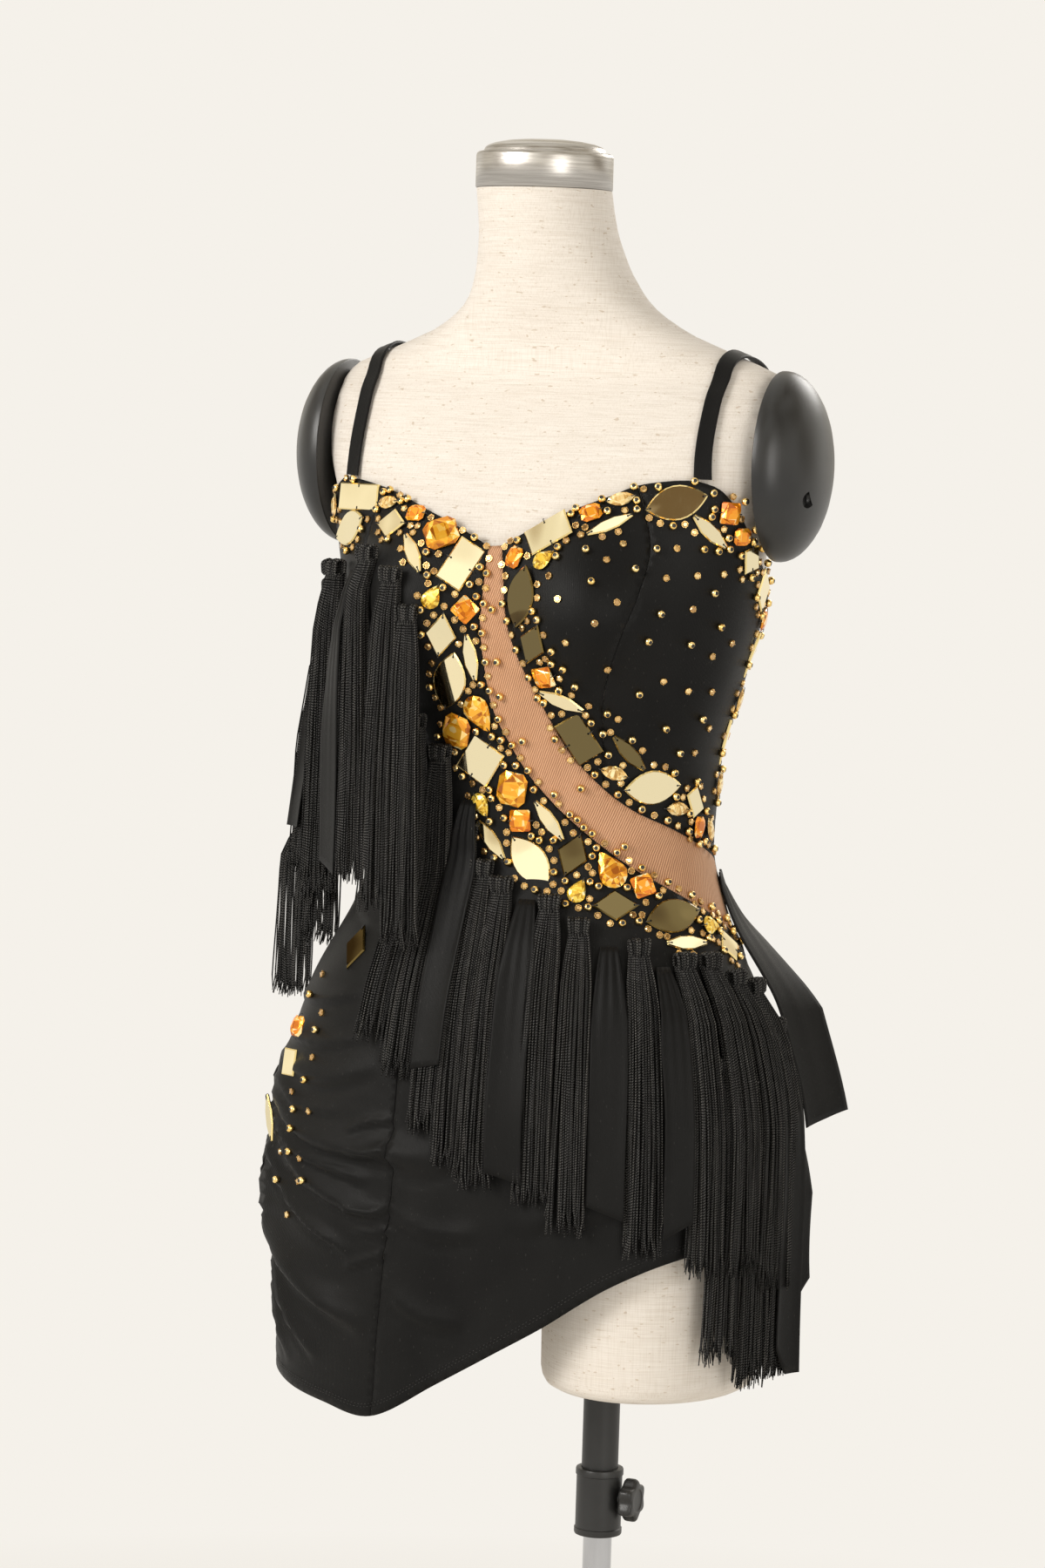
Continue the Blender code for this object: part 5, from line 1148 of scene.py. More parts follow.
def flat_piece(name, outline):
    """Start a hard piece from a filled circle primitive drawn to an outline in millimetres."""
    piece = primitive("circle", name, vertices=len(outline), radius=1, fill_type="NGON")
    for vertex, (x, y) in zip(piece.data.vertices, outline):
        vertex.co = (x, y, 0)
    return piece


STUB_REACH = 3.9  # of a thread past its hole


def thread_stub(x, y, toward_x, toward_y, top):
    """Return a short thread from a hole over the edge beside it, as points and faces."""
    along = np.array((toward_x, toward_y, 0.0))
    wide = np.array((-toward_y, toward_x, 0.0))
    start = np.array((x, y, 0.0))
    path = ((0.0, top - 0.8), (0.3, top + 0.25), (STUB_REACH * 0.5, top + 0.35),
            (STUB_REACH * 0.86, top + 0.1), (STUB_REACH, 0.1))
    points, faces = [], []
    for off, (run, rise) in enumerate(path):
        for turn in range(6):
            a = math.tau * turn / 6
            points.append(start + along * (run + 0.24 * math.sin(a) * (off in (0, 4)))
                          + wide * 0.34 * math.cos(a) + np.array((0, 0, rise + 0.24 * math.sin(a))))
    for ring in range(len(path) - 1):
        for turn in range(6):
            a, b = ring * 6 + turn, ring * 6 + (turn + 1) % 6
            faces.append((a, b, b + 6, a + 6))
    return points, faces, [2] * len(faces)


def mirror_template(kind):
    piece = flat_piece(kind, stone_outline(kind))
    edit_faces(piece)
    raise_face(MIRROR_THICK)
    bpy.ops.mesh.bevel(offset=MIRROR_BEVEL, segments=1)
    face_outwards()
    for x, y, toward_x, toward_y in hole_places(kind):
        drill = primitive("cylinder", "drill", vertices=10, radius=HOLE_RADIUS, depth=6)
        drill.data.transform(Matrix.Translation((x, y, 1)))
        combine(piece, drill)
    threads = [thread_stub(*place, MIRROR_THICK) for place in hole_places(kind)]
    return merged([template_of(piece, lambda face: 0 if face.normal.z > 0.95 else 1)] + threads)


def template_of(piece, material_of):
    """Take a shaped piece's points, faces and face materials, and remove the piece."""
    mesh = piece.data
    points = [np.array(vertex.co) for vertex in mesh.vertices]
    faces = [tuple(face.vertices) for face in mesh.polygons]
    materials = [material_of(face) for face in mesh.polygons]
    bpy.data.objects.remove(piece)
    return points, faces, materials


def merge(parts):
    """Merge parts, each points and faces, into one list of each."""
    points, faces = [], []
    for own_points, own_faces in parts:
        faces += [tuple(i + len(points) for i in face) for face in own_faces]
        points += list(own_points)
    return np.array(points), faces


def merged(parts):
    """Merge parts, each points, faces and a material for each face, into one template."""
    return *merge([part[:2] for part in parts]), [index for part in parts for index in part[2]]


def copies(name, items, materials, smooth_materials=()):
    """Join copies of templates into one object, each (template, origin, axes, tone)."""
    points, faces = merge([(origin + own[0] @ axes, own[1]) for own, origin, axes, _ in items])
    indices = [index for own, *_ in items for index in own[2]]
    tones = [tone for own, _, _, tone in items for _ in own[0]]
    mesh = bpy.data.meshes.new(name)
    mesh.from_pydata((points * MM).tolist(), [], faces)
    for material in materials:
        mesh.materials.append(material)
    mesh.polygons.foreach_set("material_index", indices)
    mesh.polygons.foreach_set("use_smooth", [index in smooth_materials for index in indices])
    mesh.attributes.new("tone", "FLOAT", "POINT").data.foreach_set("value", tones)
    # A random share of painted light for each face, which the crystals' colour reads
    facets = np.random.default_rng(len(faces)).uniform(0, 1, len(faces))
    mesh.attributes.new("facet", "FLOAT", "FACE").data.foreach_set("value", facets)
    return linked(name, mesh)


def frame_at(angle, height, out, turn=0.0, tilt=(0.0, 0.0)):
    """Return a place on the cloth and its axes: turned from level, tilted, outwards."""
    origin = on_figure(angle, height, out)
    across = unit(on_figure(angle + 1, height) - on_figure(angle - 1, height))
    up = unit(on_figure(angle, height + 2) - on_figure(angle, height - 2))
    outward = unit(unit(np.cross(across, up)) + across * math.radians(tilt[0]) + up * math.radians(tilt[1]))
    along = across * math.cos(math.radians(turn)) + up * math.sin(math.radians(turn))
    side = unit(np.cross(outward, along))
    return origin, np.array((np.cross(side, outward), side, outward))


def cloth_at(angle, height, reach=0.0):
    """Return how far out the cloth stands at a place, or at the highest point about it."""
    spots = [(angle + a * reach / MM_PER_DEGREE, height + h * reach)
             for a in (-1, 0, 1) for h in (-1, 0, 1)]
    return float(cloth_out(plan(spots)).max())


def stone_at(band, stone, tilt):
    """Return a stone's place and axes. One on the ruched seam is turned to the front."""
    spot, out = (stone.angle, stone.height), PANEL_OUT
    if band == "skirt":
        out = cloth_at(*spot, CUTS[stone.cut].width / 2)
    origin, axes = frame_at(*spot, out + STONE_LIFT, stone.turn, tilt)
    if band == "skirt" and stone.angle < SEAM_EDGE:
        axes = axes @ np.array(Matrix.Rotation(-math.radians(SEAM_STONE_TURN), 3, "Z"))
    return origin, axes


def attribute(tree, name):
    return node(tree, "Attribute", {}, attribute_name=name).outputs["Fac"]


def gold_mirror(name, base, roughness):
    made, tree, shader = principled(name, {"Metallic": 1.0, "Coat Weight": 0.35, "Coat Roughness": 0.02,
                                           "Coat IOR": 1.49})
    tone = attribute(tree, "tone")
    place = coordinate(tree)
    smears = streaks(tree, place, 60)
    warp = streaks(tree, place, 24, detail=0.0)
    scratches = streaks(tree, place, (900, 900, 60), detail=1.0)
    # A tone of 0 gives the painted dark reflection; the random tones of the other mirrors vary their colour
    # a little
    painted_dark_reflection = (base[0] * 0.17, base[1] * 0.145, base[2] * 0.085)
    light = ramp(tree, tone, [(0.0, painted_dark_reflection), (0.1, tuple(c * 0.80 for c in base)), (1.0, base)])
    feed(tree, shader, {"Base Color": light, "Roughness": span(
        tree, maths(tree, "MULTIPLY", smears, scratches), 0.1, 0.5, roughness, roughness + 0.07)})
    bump(tree, shader, warp, 1.0, 0.0028)
    return made


mirror_face = gold_mirror("pale_gold_mirror", (1.0, 0.88, 0.57), 0.03)
mirror_edge = gold_mirror("polished_acrylic_edge", (1.0, 0.80, 0.36), 0.24)
mirror_templates = {kind: mirror_template(kind) for kind in MIRROR_CUTS}
ALL_BANDS = [(band, [Stone(*row) for row in rows]) for band, rows in (
    ("right_band", RIGHT_BAND), ("left_band", LEFT_BAND), ("skirt", SKIRT_STONES))]
shake = np.random.default_rng(31)
for band, stones in ALL_BANDS:
    items = []
    for stone in stones:
        if stone.cut in MIRROR_CUTS:
            tilt = shake.uniform(-MIRROR_TILT, MIRROR_TILT, 2)
            spot = (stone.angle, stone.height)
            if spot == GLANCING_LEAF:
                tilt = GLANCING_TILT
            origin, axes = stone_at(band, stone, tilt)
            # The listed mirrors get the painted dark reflection, the others a random tone
            tone = 0.0 if spot in MIRRORS_PAINTED_DARK else shake.uniform(0.2, 1)
            items.append((mirror_templates[stone.cut], origin, axes, tone))
    mirrors = copies(band + "_mirrors", items, (mirror_face, mirror_edge, black_thread), (2,))
    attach(mirrors, "form")


# ---------------------------------------------------------------- crystals
# Cast glass crystals in amber, orange and champagne, foiled behind and faceted in front. Each
# is drilled at its ends and sewn down with two black threads.
CROWN_SHARE = 0.80
TABLE_SHARE = 0.55
CULET_SHARE = 0.18
CRYSTAL_TONES = {"cushion": 0, "square": 1, "octagon": 1, "pear": 0, "small_pear": 2, "navette": 3}
# Each colour: its name, then the painted shade, the mid tone and the painted light of its facets
CRYSTAL_COLOURS = (
    ("amber", (0.38, 0.10, 0.003), (0.90, 0.36, 0.014), (1.0, 0.56, 0.055)),
    ("orange", (0.42, 0.085, 0.002), (0.93, 0.28, 0.008), (1.0, 0.45, 0.025)),
    ("yellow", (0.38, 0.19, 0.006), (0.88, 0.53, 0.035), (1.0, 0.76, 0.14)),
    ("champagne", (0.42, 0.22, 0.05), (0.88, 0.57, 0.19), (1.0, 0.80, 0.42)),
)


def crystal_template(kind):
    """Facet a crystal from its culet up through the girdle to its table."""
    cut = CUTS[kind]
    outline = stone_outline(kind)
    half_step = math.pi / len(outline)
    piece = flat_piece(kind, [(x * CULET_SHARE, y * CULET_SHARE) for x, y in outline])
    edit_faces(piece)
    raise_face(cut.girdle * 0.55, 0.66 / CULET_SHARE, half_step)
    raise_face(cut.girdle * 0.35, 1 / 0.66, -half_step)
    raise_face(cut.girdle * 0.10)
    raise_face((cut.table - cut.girdle) * 0.62, CROWN_SHARE, half_step)
    raise_face((cut.table - cut.girdle) * 0.38, TABLE_SHARE / CROWN_SHARE, -half_step)
    bpy.ops.mesh.select_all(action="SELECT")
    bpy.ops.mesh.quads_convert_to_tris(quad_method="SHORTEST_DIAGONAL", ngon_method="BEAUTY")
    bpy.ops.mesh.normals_make_consistent(inside=False)
    bpy.ops.mesh.tris_convert_to_quads(face_threshold=0.01, shape_threshold=0.01)
    bpy.ops.object.mode_set(mode="OBJECT")
    girdle = cut.girdle * 0.88
    body = template_of(piece, lambda face: 0 if face.center.z > girdle else 1)
    half = cut.length / 2
    threads = [thread_stub(side * half * 0.72, 0, side, 0, cut.girdle + 0.9) for side in (-1, 1)]
    return merged([body] + threads)


def foiled_crystal(name, deep, body, bright, facet_share):
    """Clear glass over foil with painted light: each facet, and each piece of foil seen through it, has its
    own painted brightness, from painted shade to a painted glint.
    """
    made, tree, shader = principled(name, {"Metallic": 0.5, "Roughness": 0.12, "Coat Weight": 0.3,
                                           "Coat Roughness": 0.01, "Coat IOR": 1.5})
    facet = attribute(tree, "facet")
    place = coordinate(tree)
    pavilion = node(tree, "TexVoronoi", {"Vector": place, "Scale": 210.0})
    painted_foil_glint = node(tree, "SeparateColor", {0: pavilion.outputs["Color"]}).outputs[0]
    light = maths(tree, "ADD", maths(tree, "MULTIPLY", facet, facet_share),
                  maths(tree, "MULTIPLY", painted_foil_glint, 1 - facet_share))
    # The colour is painted light: random for each facet and each piece of foil, its last stop a painted
    # glint
    feed(tree, shader, {"Base Color": ramp(
        tree, light, [(0.15, deep), (0.45, body), (0.72, bright), (0.93, (1.0, 0.90, 0.52))])})
    return made


crystal_materials = []
for name, *colours in CRYSTAL_COLOURS:
    crystal_materials.append((foiled_crystal(name + "_crystal", *colours, 0.65),
                              foiled_crystal(name + "_crystal_side", *colours, 0.3)))
crystal_templates = {kind: crystal_template(kind) for kind in CRYSTAL_TONES}
for band, stones in ALL_BANDS:
    for tone, (colour, *_) in enumerate(CRYSTAL_COLOURS):
        items = []
        for stone in stones:
            if CRYSTAL_TONES.get(stone.cut) == tone:
                origin, axes = stone_at(band, stone, shake.uniform(-3, 3, 2))
                items.append((crystal_templates[stone.cut], origin, axes, shake.uniform(0, 1)))
        if items:
            crystals = copies(f"{band}_{colour}_crystals", items,
                              (*crystal_materials[tone], black_thread), (2,))
            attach(crystals, "form")


# ---------------------------------------------------------------- pearls and chatons
# Small gilt beads threaded through their middles, and small brown chatons in bronze claw
# settings. They run in rows along the mesh and necklines and fill the gaps among the stones.
PEARL_RADIUS = 2.9
CHATON_RADIUS = 2.5
BEAD_STEP = 10.2
BEAD_CLEARANCE = 5.3
STONE_CLEARANCE = 2.5
PLACED_CLEARANCE = 1.6  # of the beads that have a place of their own
EDGE_CLEARANCE = 0.4
FILL_STEP = 7.0
SKIRT_TOP = 980.0
Spot = namedtuple("Spot", "angle height")
CUP_PEARLS = (
    (33.9, 1284), (47.4, 1272), (34.8, 1263), (54.6, 1286), (67.3, 1287), (71.3, 1286), (70.9, 1257),
    (54.6, 1243), (51.5, 1224), (65.7, 1222), (74.7, 1234), (52.5, 1187), (76.2, 1169), (63.3, 1163),
    (70.1, 1145), (27.8, 1204), (31.9, 1192), (24.1, 1216), (43.2, 1173), (42.7, 1159),
)
MESH_PEARLS = (
    (3, 1205), (1.1, 1241), (53.7, 1080), (36.6, 1120), (35.9, 1098), (49.5, 1136), (12.4, 1151),
    (3.7, 1181), (26.2, 1115), (69.1, 1105),
)
CUP_CHATONS = (
    (45.2, 1289), (39.6, 1278), (60.3, 1287), (56.7, 1267), (65.9, 1269), (41.3, 1250), (35.3, 1236),
    (65.1, 1246), (27.9, 1222), (40.8, 1204), (74.5, 1213), (81.3, 1222), (59.7, 1196), (68.6, 1189),
    (77.7, 1188), (73.7, 1270), (81.2, 1162), (77, 1145), (47.2, 1169), (37, 1178), (25.4, 1251),
    (22.7, 1266),
)
SKIRT_BEADS = (
    (-65.3, 974), (-65.5, 959), (-59.2, 949), (-59.2, 937), (-57.8, 918), (-58.3, 902), (-63.9, 891),
    (-61.5, 880), (-55.9, 881), (-59.1, 867), (-68, 846), (-61.3, 850), (-57.4, 847), (-66.2, 827),
    (-60.4, 829), (-53.9, 833), (-64.2, 803),
)


def pearl_template():
    piece = primitive("uv_sphere", "pearl", segments=10, ring_count=6, radius=PEARL_RADIUS)
    top = max(piece.data.vertices, key=lambda vertex: vertex.co.z)
    top.co.z -= 0.9
    holes = {face.index for face in piece.data.polygons if top.index in face.vertices}
    piece.data.transform(Matrix.Translation((0, 0, PEARL_RADIUS * 0.82)))
    return merged([template_of(piece, lambda face: 1 if face.index in holes else 0)])


def chaton_template():
    outline = [(CHATON_RADIUS * math.cos(math.tau * i / 8), CHATON_RADIUS * math.sin(math.tau * i / 8))
               for i in range(8)]
    piece = flat_piece("chaton", outline)
    edit_faces(piece)
    raise_face(1.3)
    raise_face(0.0, 0.86)
    raise_face(0.75, 0.62, math.pi / 8)
    face_outwards()
    parts = [template_of(piece, lambda face: 1 if face.center.z > 1.4 else 0)]
    upright = Matrix.Translation((CHATON_RADIUS * 0.86, 0, 0.95)) @ Matrix.Diagonal((0.75, 0.6, 1.9, 1))
    for i in range(4):
        claw = primitive("cube", "claw", size=1)
        claw.data.transform(Matrix.Rotation(math.tau * (i + 0.5) / 4, 4, "Z") @ upright)
        parts.append(template_of(claw, lambda face: 0))
    return merged(parts)


def gilt_bead():
    made, tree, shader = principled("gilt_bead", {"Metallic": 1.0})
    wear = streaks(tree, coordinate(tree), 800, detail=2.0)
    feed(tree, shader, {"Roughness": span(tree, wear, 0.3, 0.7, 0.14, 0.30), "Base Color": ramp(
        tree, attribute(tree, "tone"), [(0.0, (0.90, 0.60, 0.19)), (1.0, (1.0, 0.76, 0.34))])})
    return made


def smoked_crystal():
    made, tree, shader = principled("smoked_brown_crystal", {
        "Metallic": 0.85, "Roughness": 0.06, "Coat Weight": 1.0, "Coat Roughness": 0.01})
    feed(tree, shader, {"Base Color": ramp(tree, attribute(tree, "tone"), [
        (0.0, (0.44, 0.25, 0.09)), (0.6, (0.78, 0.50, 0.19)), (1.0, (1.0, 0.76, 0.36))])})
    return made


class Ground:
    """A stone's outline in its own plane, for keeping small beads clear of it."""

    def __init__(self, stone):
        self.origin, self.axes = frame_at(stone.angle, stone.height, PANEL_OUT, stone.turn)
        self.outline = np.array(stone_outline(stone.cut))
        self.reach = CUTS[stone.cut].length / 2 + 12

    def clearance(self, place):
        off = place - self.origin
        if np.linalg.norm(off) > self.reach:
            return self.reach
        local = (self.axes[:2] @ off)[None, :]
        distance = away_from(self.outline, local, closed=True)[0]
        return -distance if inside(self.outline, local)[0] else distance

    def around(self, distance, step):
        """Return spots beside the stone, a distance out from its outline."""
        closed = np.vstack([self.outline, self.outline[:1]])
        run = run_along(closed)
        ring = marked(closed, run, np.arange(0, run[-1], step))
        size = np.linalg.norm(ring, axis=1)[:, None]
        return self.origin + (ring * (1 + distance / size)) @ self.axes[:2]


def spot_of(place):
    """Return the angle and height of a place near the figure."""
    centre = float(figure_at(place[2])[3])
    return Spot(math.degrees(math.atan2(place[0], centre - place[1])), float(place[2]))


def spaced(line, step, start=0.0):
    run = run_along(on_figure(*line.T))
    return [Spot(*spot) for spot in marked(line, run, np.arange(start, run[-1], step))]


grounds = [Ground(stone) for _, stones in ALL_BANDS for stone in stones]
beads = []
neckline = np.vstack([curve(RIGHT_NECKLINE)[::-1], curve(LEFT_NECKLINE)])


def add_bead(spot, kind, clearance=STONE_CLEARANCE):
    """Keep a bead if it lies clear of the stones and of the other beads."""
    place = on_figure(*spot, PANEL_OUT)
    if min(ground.clearance(place) for ground in grounds) < clearance:
        return
    if any(np.linalg.norm(place - other) < BEAD_CLEARANCE for other, _, _ in beads):
        return
    beads.append((place, spot, kind))


for spots, kind in ((CUP_PEARLS, "pearl"), (MESH_PEARLS, "pearl"), (CUP_CHATONS, "chaton")):
    for spot in spots:
        add_bead(Spot(*spot), kind, PLACED_CLEARANCE)
for i, spot in enumerate(SKIRT_BEADS):
    add_bead(Spot(*spot), "pearl" if i % 2 else "chaton", PLACED_CLEARANCE)
for line, distance, start in (
        (INSET_UPPER_EDGE, 3.4, 2.0), (INSET_LOWER_EDGE, -3.6, 5.0), (LEFT_NECKLINE, -3.6, 3.0),
        (RIGHT_NECKLINE, 3.6, 6.0), (LEFT_NECKLINE, -1.0, 7.0), (RIGHT_NECKLINE, 1.0, 1.0),
        (INSET_LOWER_EDGE, 3.0, 9.0), (LEFT_ARMHOLE, -4.5, 4.0)):
    for i, spot in enumerate(spaced(beside(curve(line, 2.0), distance), BEAD_STEP, start)):
        add_bead(spot, "pearl" if i % 2 else "chaton")
for ground, name in zip(grounds, [name for name, stones in ALL_BANDS for _ in stones]):
    if name != "skirt":
        for i, place in enumerate(ground.around(4.0, FILL_STEP)):
            spot = spot_of(place)
            if spot.height < np.interp(spot.angle, *neckline.T) - EDGE_CLEARANCE:
                add_bead(spot, "chaton" if i % 3 else "pearl")

gilt, smoked = gilt_bead(), smoked_crystal()
bronze = worn("bronze_setting", {"Metallic": 1.0, "Roughness": 0.3}, 900, 2.0, [
    (0.3, (0.48, 0.29, 0.10)), (0.7, (0.84, 0.58, 0.24))])
for kind, name, template, materials, smooth_ones in (
        ("pearl", "gilt_beads", pearl_template(), (gilt, black_thread), (0, 1)),
        ("chaton", "brown_chatons", chaton_template(), (bronze, smoked), ())):
    items = []
    for _, spot, own_kind in beads:
        if own_kind == kind:
            out = cloth_at(*spot) if spot.height < SKIRT_TOP and spot.angle < 0 else PANEL_OUT - 0.1
            origin, axes = frame_at(*spot, out, shake.uniform(0, 360), shake.uniform(-8, 8, 2))
            items.append((template, origin, axes, shake.uniform(0, 1)))
    made = copies(name, items, materials, smooth_ones)
    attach(made, "form")


# ---------------------------------------------------------------- fringe tassels
# Rayon chainette fringe: soft braided cords 1.5 mm thick, folded over into looped heads that
# are bound below and sewn on under the stones. The cords hang free to uneven cut ends.
HEAD_WIDTH = 15.0
HEAD_DEPTH = 8.0
HEAD_TALL = 10.0
# Each tassel of a group: angle, height, layer and length, and for some how much further out it
# stands, how far it leans, how many degrees ahead it hangs, and if it hangs free of the waist
Tassel = namedtuple("Tassel", "name angle height layer length stand_off lean ahead free",
                    defaults=(0.0, 0.0, 0.0, False))
TASSELS = {
    "bust": ((-79, 1254, 1, 222), (-66, 1269, 1, 222), (-43, 1282, 1, 222, 0.0, 5.0),
             (-31, 1269, 1, 228, 0.0, -4.0), (-25, 1243, 1, 225)),
    "waist": ((-34, 1166, 1, 215), (-24.5, 1146, 1, 218), (-13.5, 1091, 1, 200), (-3.5, 1068, 1, 198),
              (7, 1058, 1, 201)),
    "hip": ((28, 1048, 1, 199), (39, 1033, 1, 202), (57, 1020, 1, 203), (69, 1011, 2, 207),
            (76.5, 1010, 2, 206), (83.5, 998, 2, 208), (91, 990, 2, 203), (99, 960, 1, 200)),
    "low": ((73, 942, 1, 200, 0.0, 2.6), (82, 926, 1, 203, 0.0, -2.6), (92, 924, 1, 200)),
    "back": ((-88, 1230, 2, 180, 8.0, 0.0, 3.0, True), (-86, 1184, 1, 182, -6.0, 0.0, 4.0, True),
             (-93, 1144, 1, 184, 4.0, 0.0, 7.0, True), (-101, 1104, 1, 184, 6.0), (-145, 1078, 1, 200),
             (-172, 1068, 1, 205), (160, 1062, 1, 210), (132, 1058, 1, 212)),
}
LAYER_OUT = {1: 5.2, 2: 10.6}
FREE_FROM = 80.0  # drop over which a free tassel leaves the waist, for the hip's reach
FREE_TWIST = 72.0
FREE_FLARE = 1.15
LAYER_DEPTH = 7.2
HEAD_LOOPS = 7
LOOP_RADIUS = 1.08
HEAD_GAP = 0.5  # of a head from the cloth
HEAD_GRIP = 0.86  # of the head's width, in which the binding holds the cords
SWING_ROOM = 0.42  # of its width, by which a turned bunch is moved out
BINDING_DROP = -2.2  # of the binding thread below the head's foot
BINDING_TURNS = 3
BINDING_STEP = 0.8
BINDING_RADIUS = 0.45
CORD_COLUMNS = 15
CORD_ROWS = 5
CORD_RADIUS = 0.74
CORD_SIDES = 4
CORD_STEPS = 16
CORD_GUIDE = (0.31, 0.95, 0.05)  # a direction along which no cord runs
CORD_TIP = 0.55  # of its radius, at a cord's cut end
CORD_PLAN = 0.0064  # width of a cord's strip of the flat plan, in metres
CORD_UNEVEN = (-0.035, 0.022)  # of its length, by which a cord is cut short or long
SHORT_CORDS = 0.08  # of the cords, that are cut shorter still
SHORT_CUT = 0.96  # of their length that those keep
TIP_SPLAY = 2.4
LINK_LENGTH = 0.0018  # of a link of the braid, in metres
HALF_CORD = 0.0008  # half a cord's width as its braid is drawn, in metres
CLUMPS = 5  # a bunch parts into this many as it hangs
CLUMP_PULL = 0.16
CLUMP_DEPTH = 1.3
FACING = 24.0
SIDE_TWIST = 48.0
HEAD_TWIST = 0.75  # of the bunch's twist, that its head already has
CORD_FALL = 20.5  # width of the hanging cords just below the head
CORD_FLARE = 27.0  # and at their ends
SECTION_STEP = 8.0
HOOK_REACH = 26.0  # to each side of a hook, of what is felt for below it


class Hook:
    """Where something hangs: the way out from the cloth there, and the way along it."""

    def __init__(self, angle, height, drop):
        place = on_figure(angle, height)
        along = unit((on_figure(angle + 1, height) - on_figure(angle - 1, height))[:2])
        self.height = height
        self.across = np.array((along[0], along[1], 0.0))
        self.outward = np.array((along[1], -along[0], 0.0))
        self.side = place @ self.across
        self.sides = np.arange(-HOOK_REACH, HOOK_REACH + 1, 2.0)
        self.levels = height - np.arange(0, drop + SECTION_STEP, SECTION_STEP)
        turns = np.arange(0, 360, 2.0)
        rows = []
        for level in self.levels:
            ring = on_figure(turns, level)
            off, reach = ring @ self.across - self.side, ring @ self.outward
            facing = reach > np.median(reach)
            order = np.argsort(off[facing])
            rows.append(np.interp(self.sides, off[facing][order], reach[facing][order]))
        self.table = np.maximum.accumulate(np.array(rows), axis=0)

    def hung(self, side, height, out):
        """Return points straight below the hook, pushed out by all that they pass."""
        side, height, out = np.broadcast_arrays(np.asarray(side, float), height, out)
        level = np.clip((self.height - height) / SECTION_STEP, 0, len(self.levels) - 1.001)
        column = np.clip((side - self.sides[0]) / 2.0, 0, len(self.sides) - 1.001)
        i, j = level.astype(int), column.astype(int)
        v, u = level - i, column - j
        low, high = (self.table[k, j] * (1 - u) + self.table[k, j + 1] * u for k in (i, i + 1))
        reach = low * (1 - v) + high * v
        points = self.outward * (reach + out)[..., None] + self.across * (self.side + side)[..., None]
        points[..., 2] = height
        return points

    def about(self, centre, side, out):
        """Return points to the side of a centre and out from it."""
        return centre + self.outward * out[:, None] + self.across * side[:, None]


def cords(paths, radius, sides):
    """Run a tube along each path, and return points, faces and flat coordinates.

    Each cord has a strip of the flat plan to itself and starts at its own point of the braid.
    """
    points, faces, flats = [], [], []
    first = 0
    for number, path in enumerate(paths):
        along = unit(np.gradient(path, axis=0))
        wide = unit(np.cross(along, CORD_GUIDE))
        deep = np.cross(along, wide)
        run = run_along(path)
        taper = np.ones(len(path))
        taper[-1] = CORD_TIP
        for k in range(sides):
            a = math.tau * k / sides
            ring = path + (wide * math.cos(a) + deep * math.sin(a)) * (radius * taper)[:, None]
            points.append(ring)
            across = number * CORD_PLAN + k / sides * 4 * radius * MM * 1.6
            start = number * 0.618 % 1 * LINK_LENGTH
            drawn = 0.88 + number * 0.383 % 1 * 0.24
            flats.append(np.stack([np.full(len(path), across), run * MM * drawn + start], axis=1))
        count = len(path)
        for k in range(sides):
            a, b = first + k * count, first + (k + 1) % sides * count
            faces += [(a + i, a + i + 1, b + i + 1, b + i) for i in range(count - 1)]
        faces.append(tuple(first + k * count + count - 1 for k in range(sides)))
        faces.append(tuple(first + k * count for k in reversed(range(sides))))
        first += sides * count
    return np.vstack(points), faces, np.vstack(flats)


def turned_from_edge(angle):
    """Return how far a bunch twists as it hangs: most where it would hang edge-on at a side."""
    off = (angle - FACING + 180) % 360 - 180
    return -math.copysign(SIDE_TWIST, off) * math.exp(-((abs(off) - 100) / 30) ** 2)


def swung(side, out, turn, reach):
    """Turn a place of a bunch about an upright line, and move it clear of the cloth."""
    return side * np.cos(turn), out - side * np.sin(turn) + np.abs(np.sin(turn)) * reach


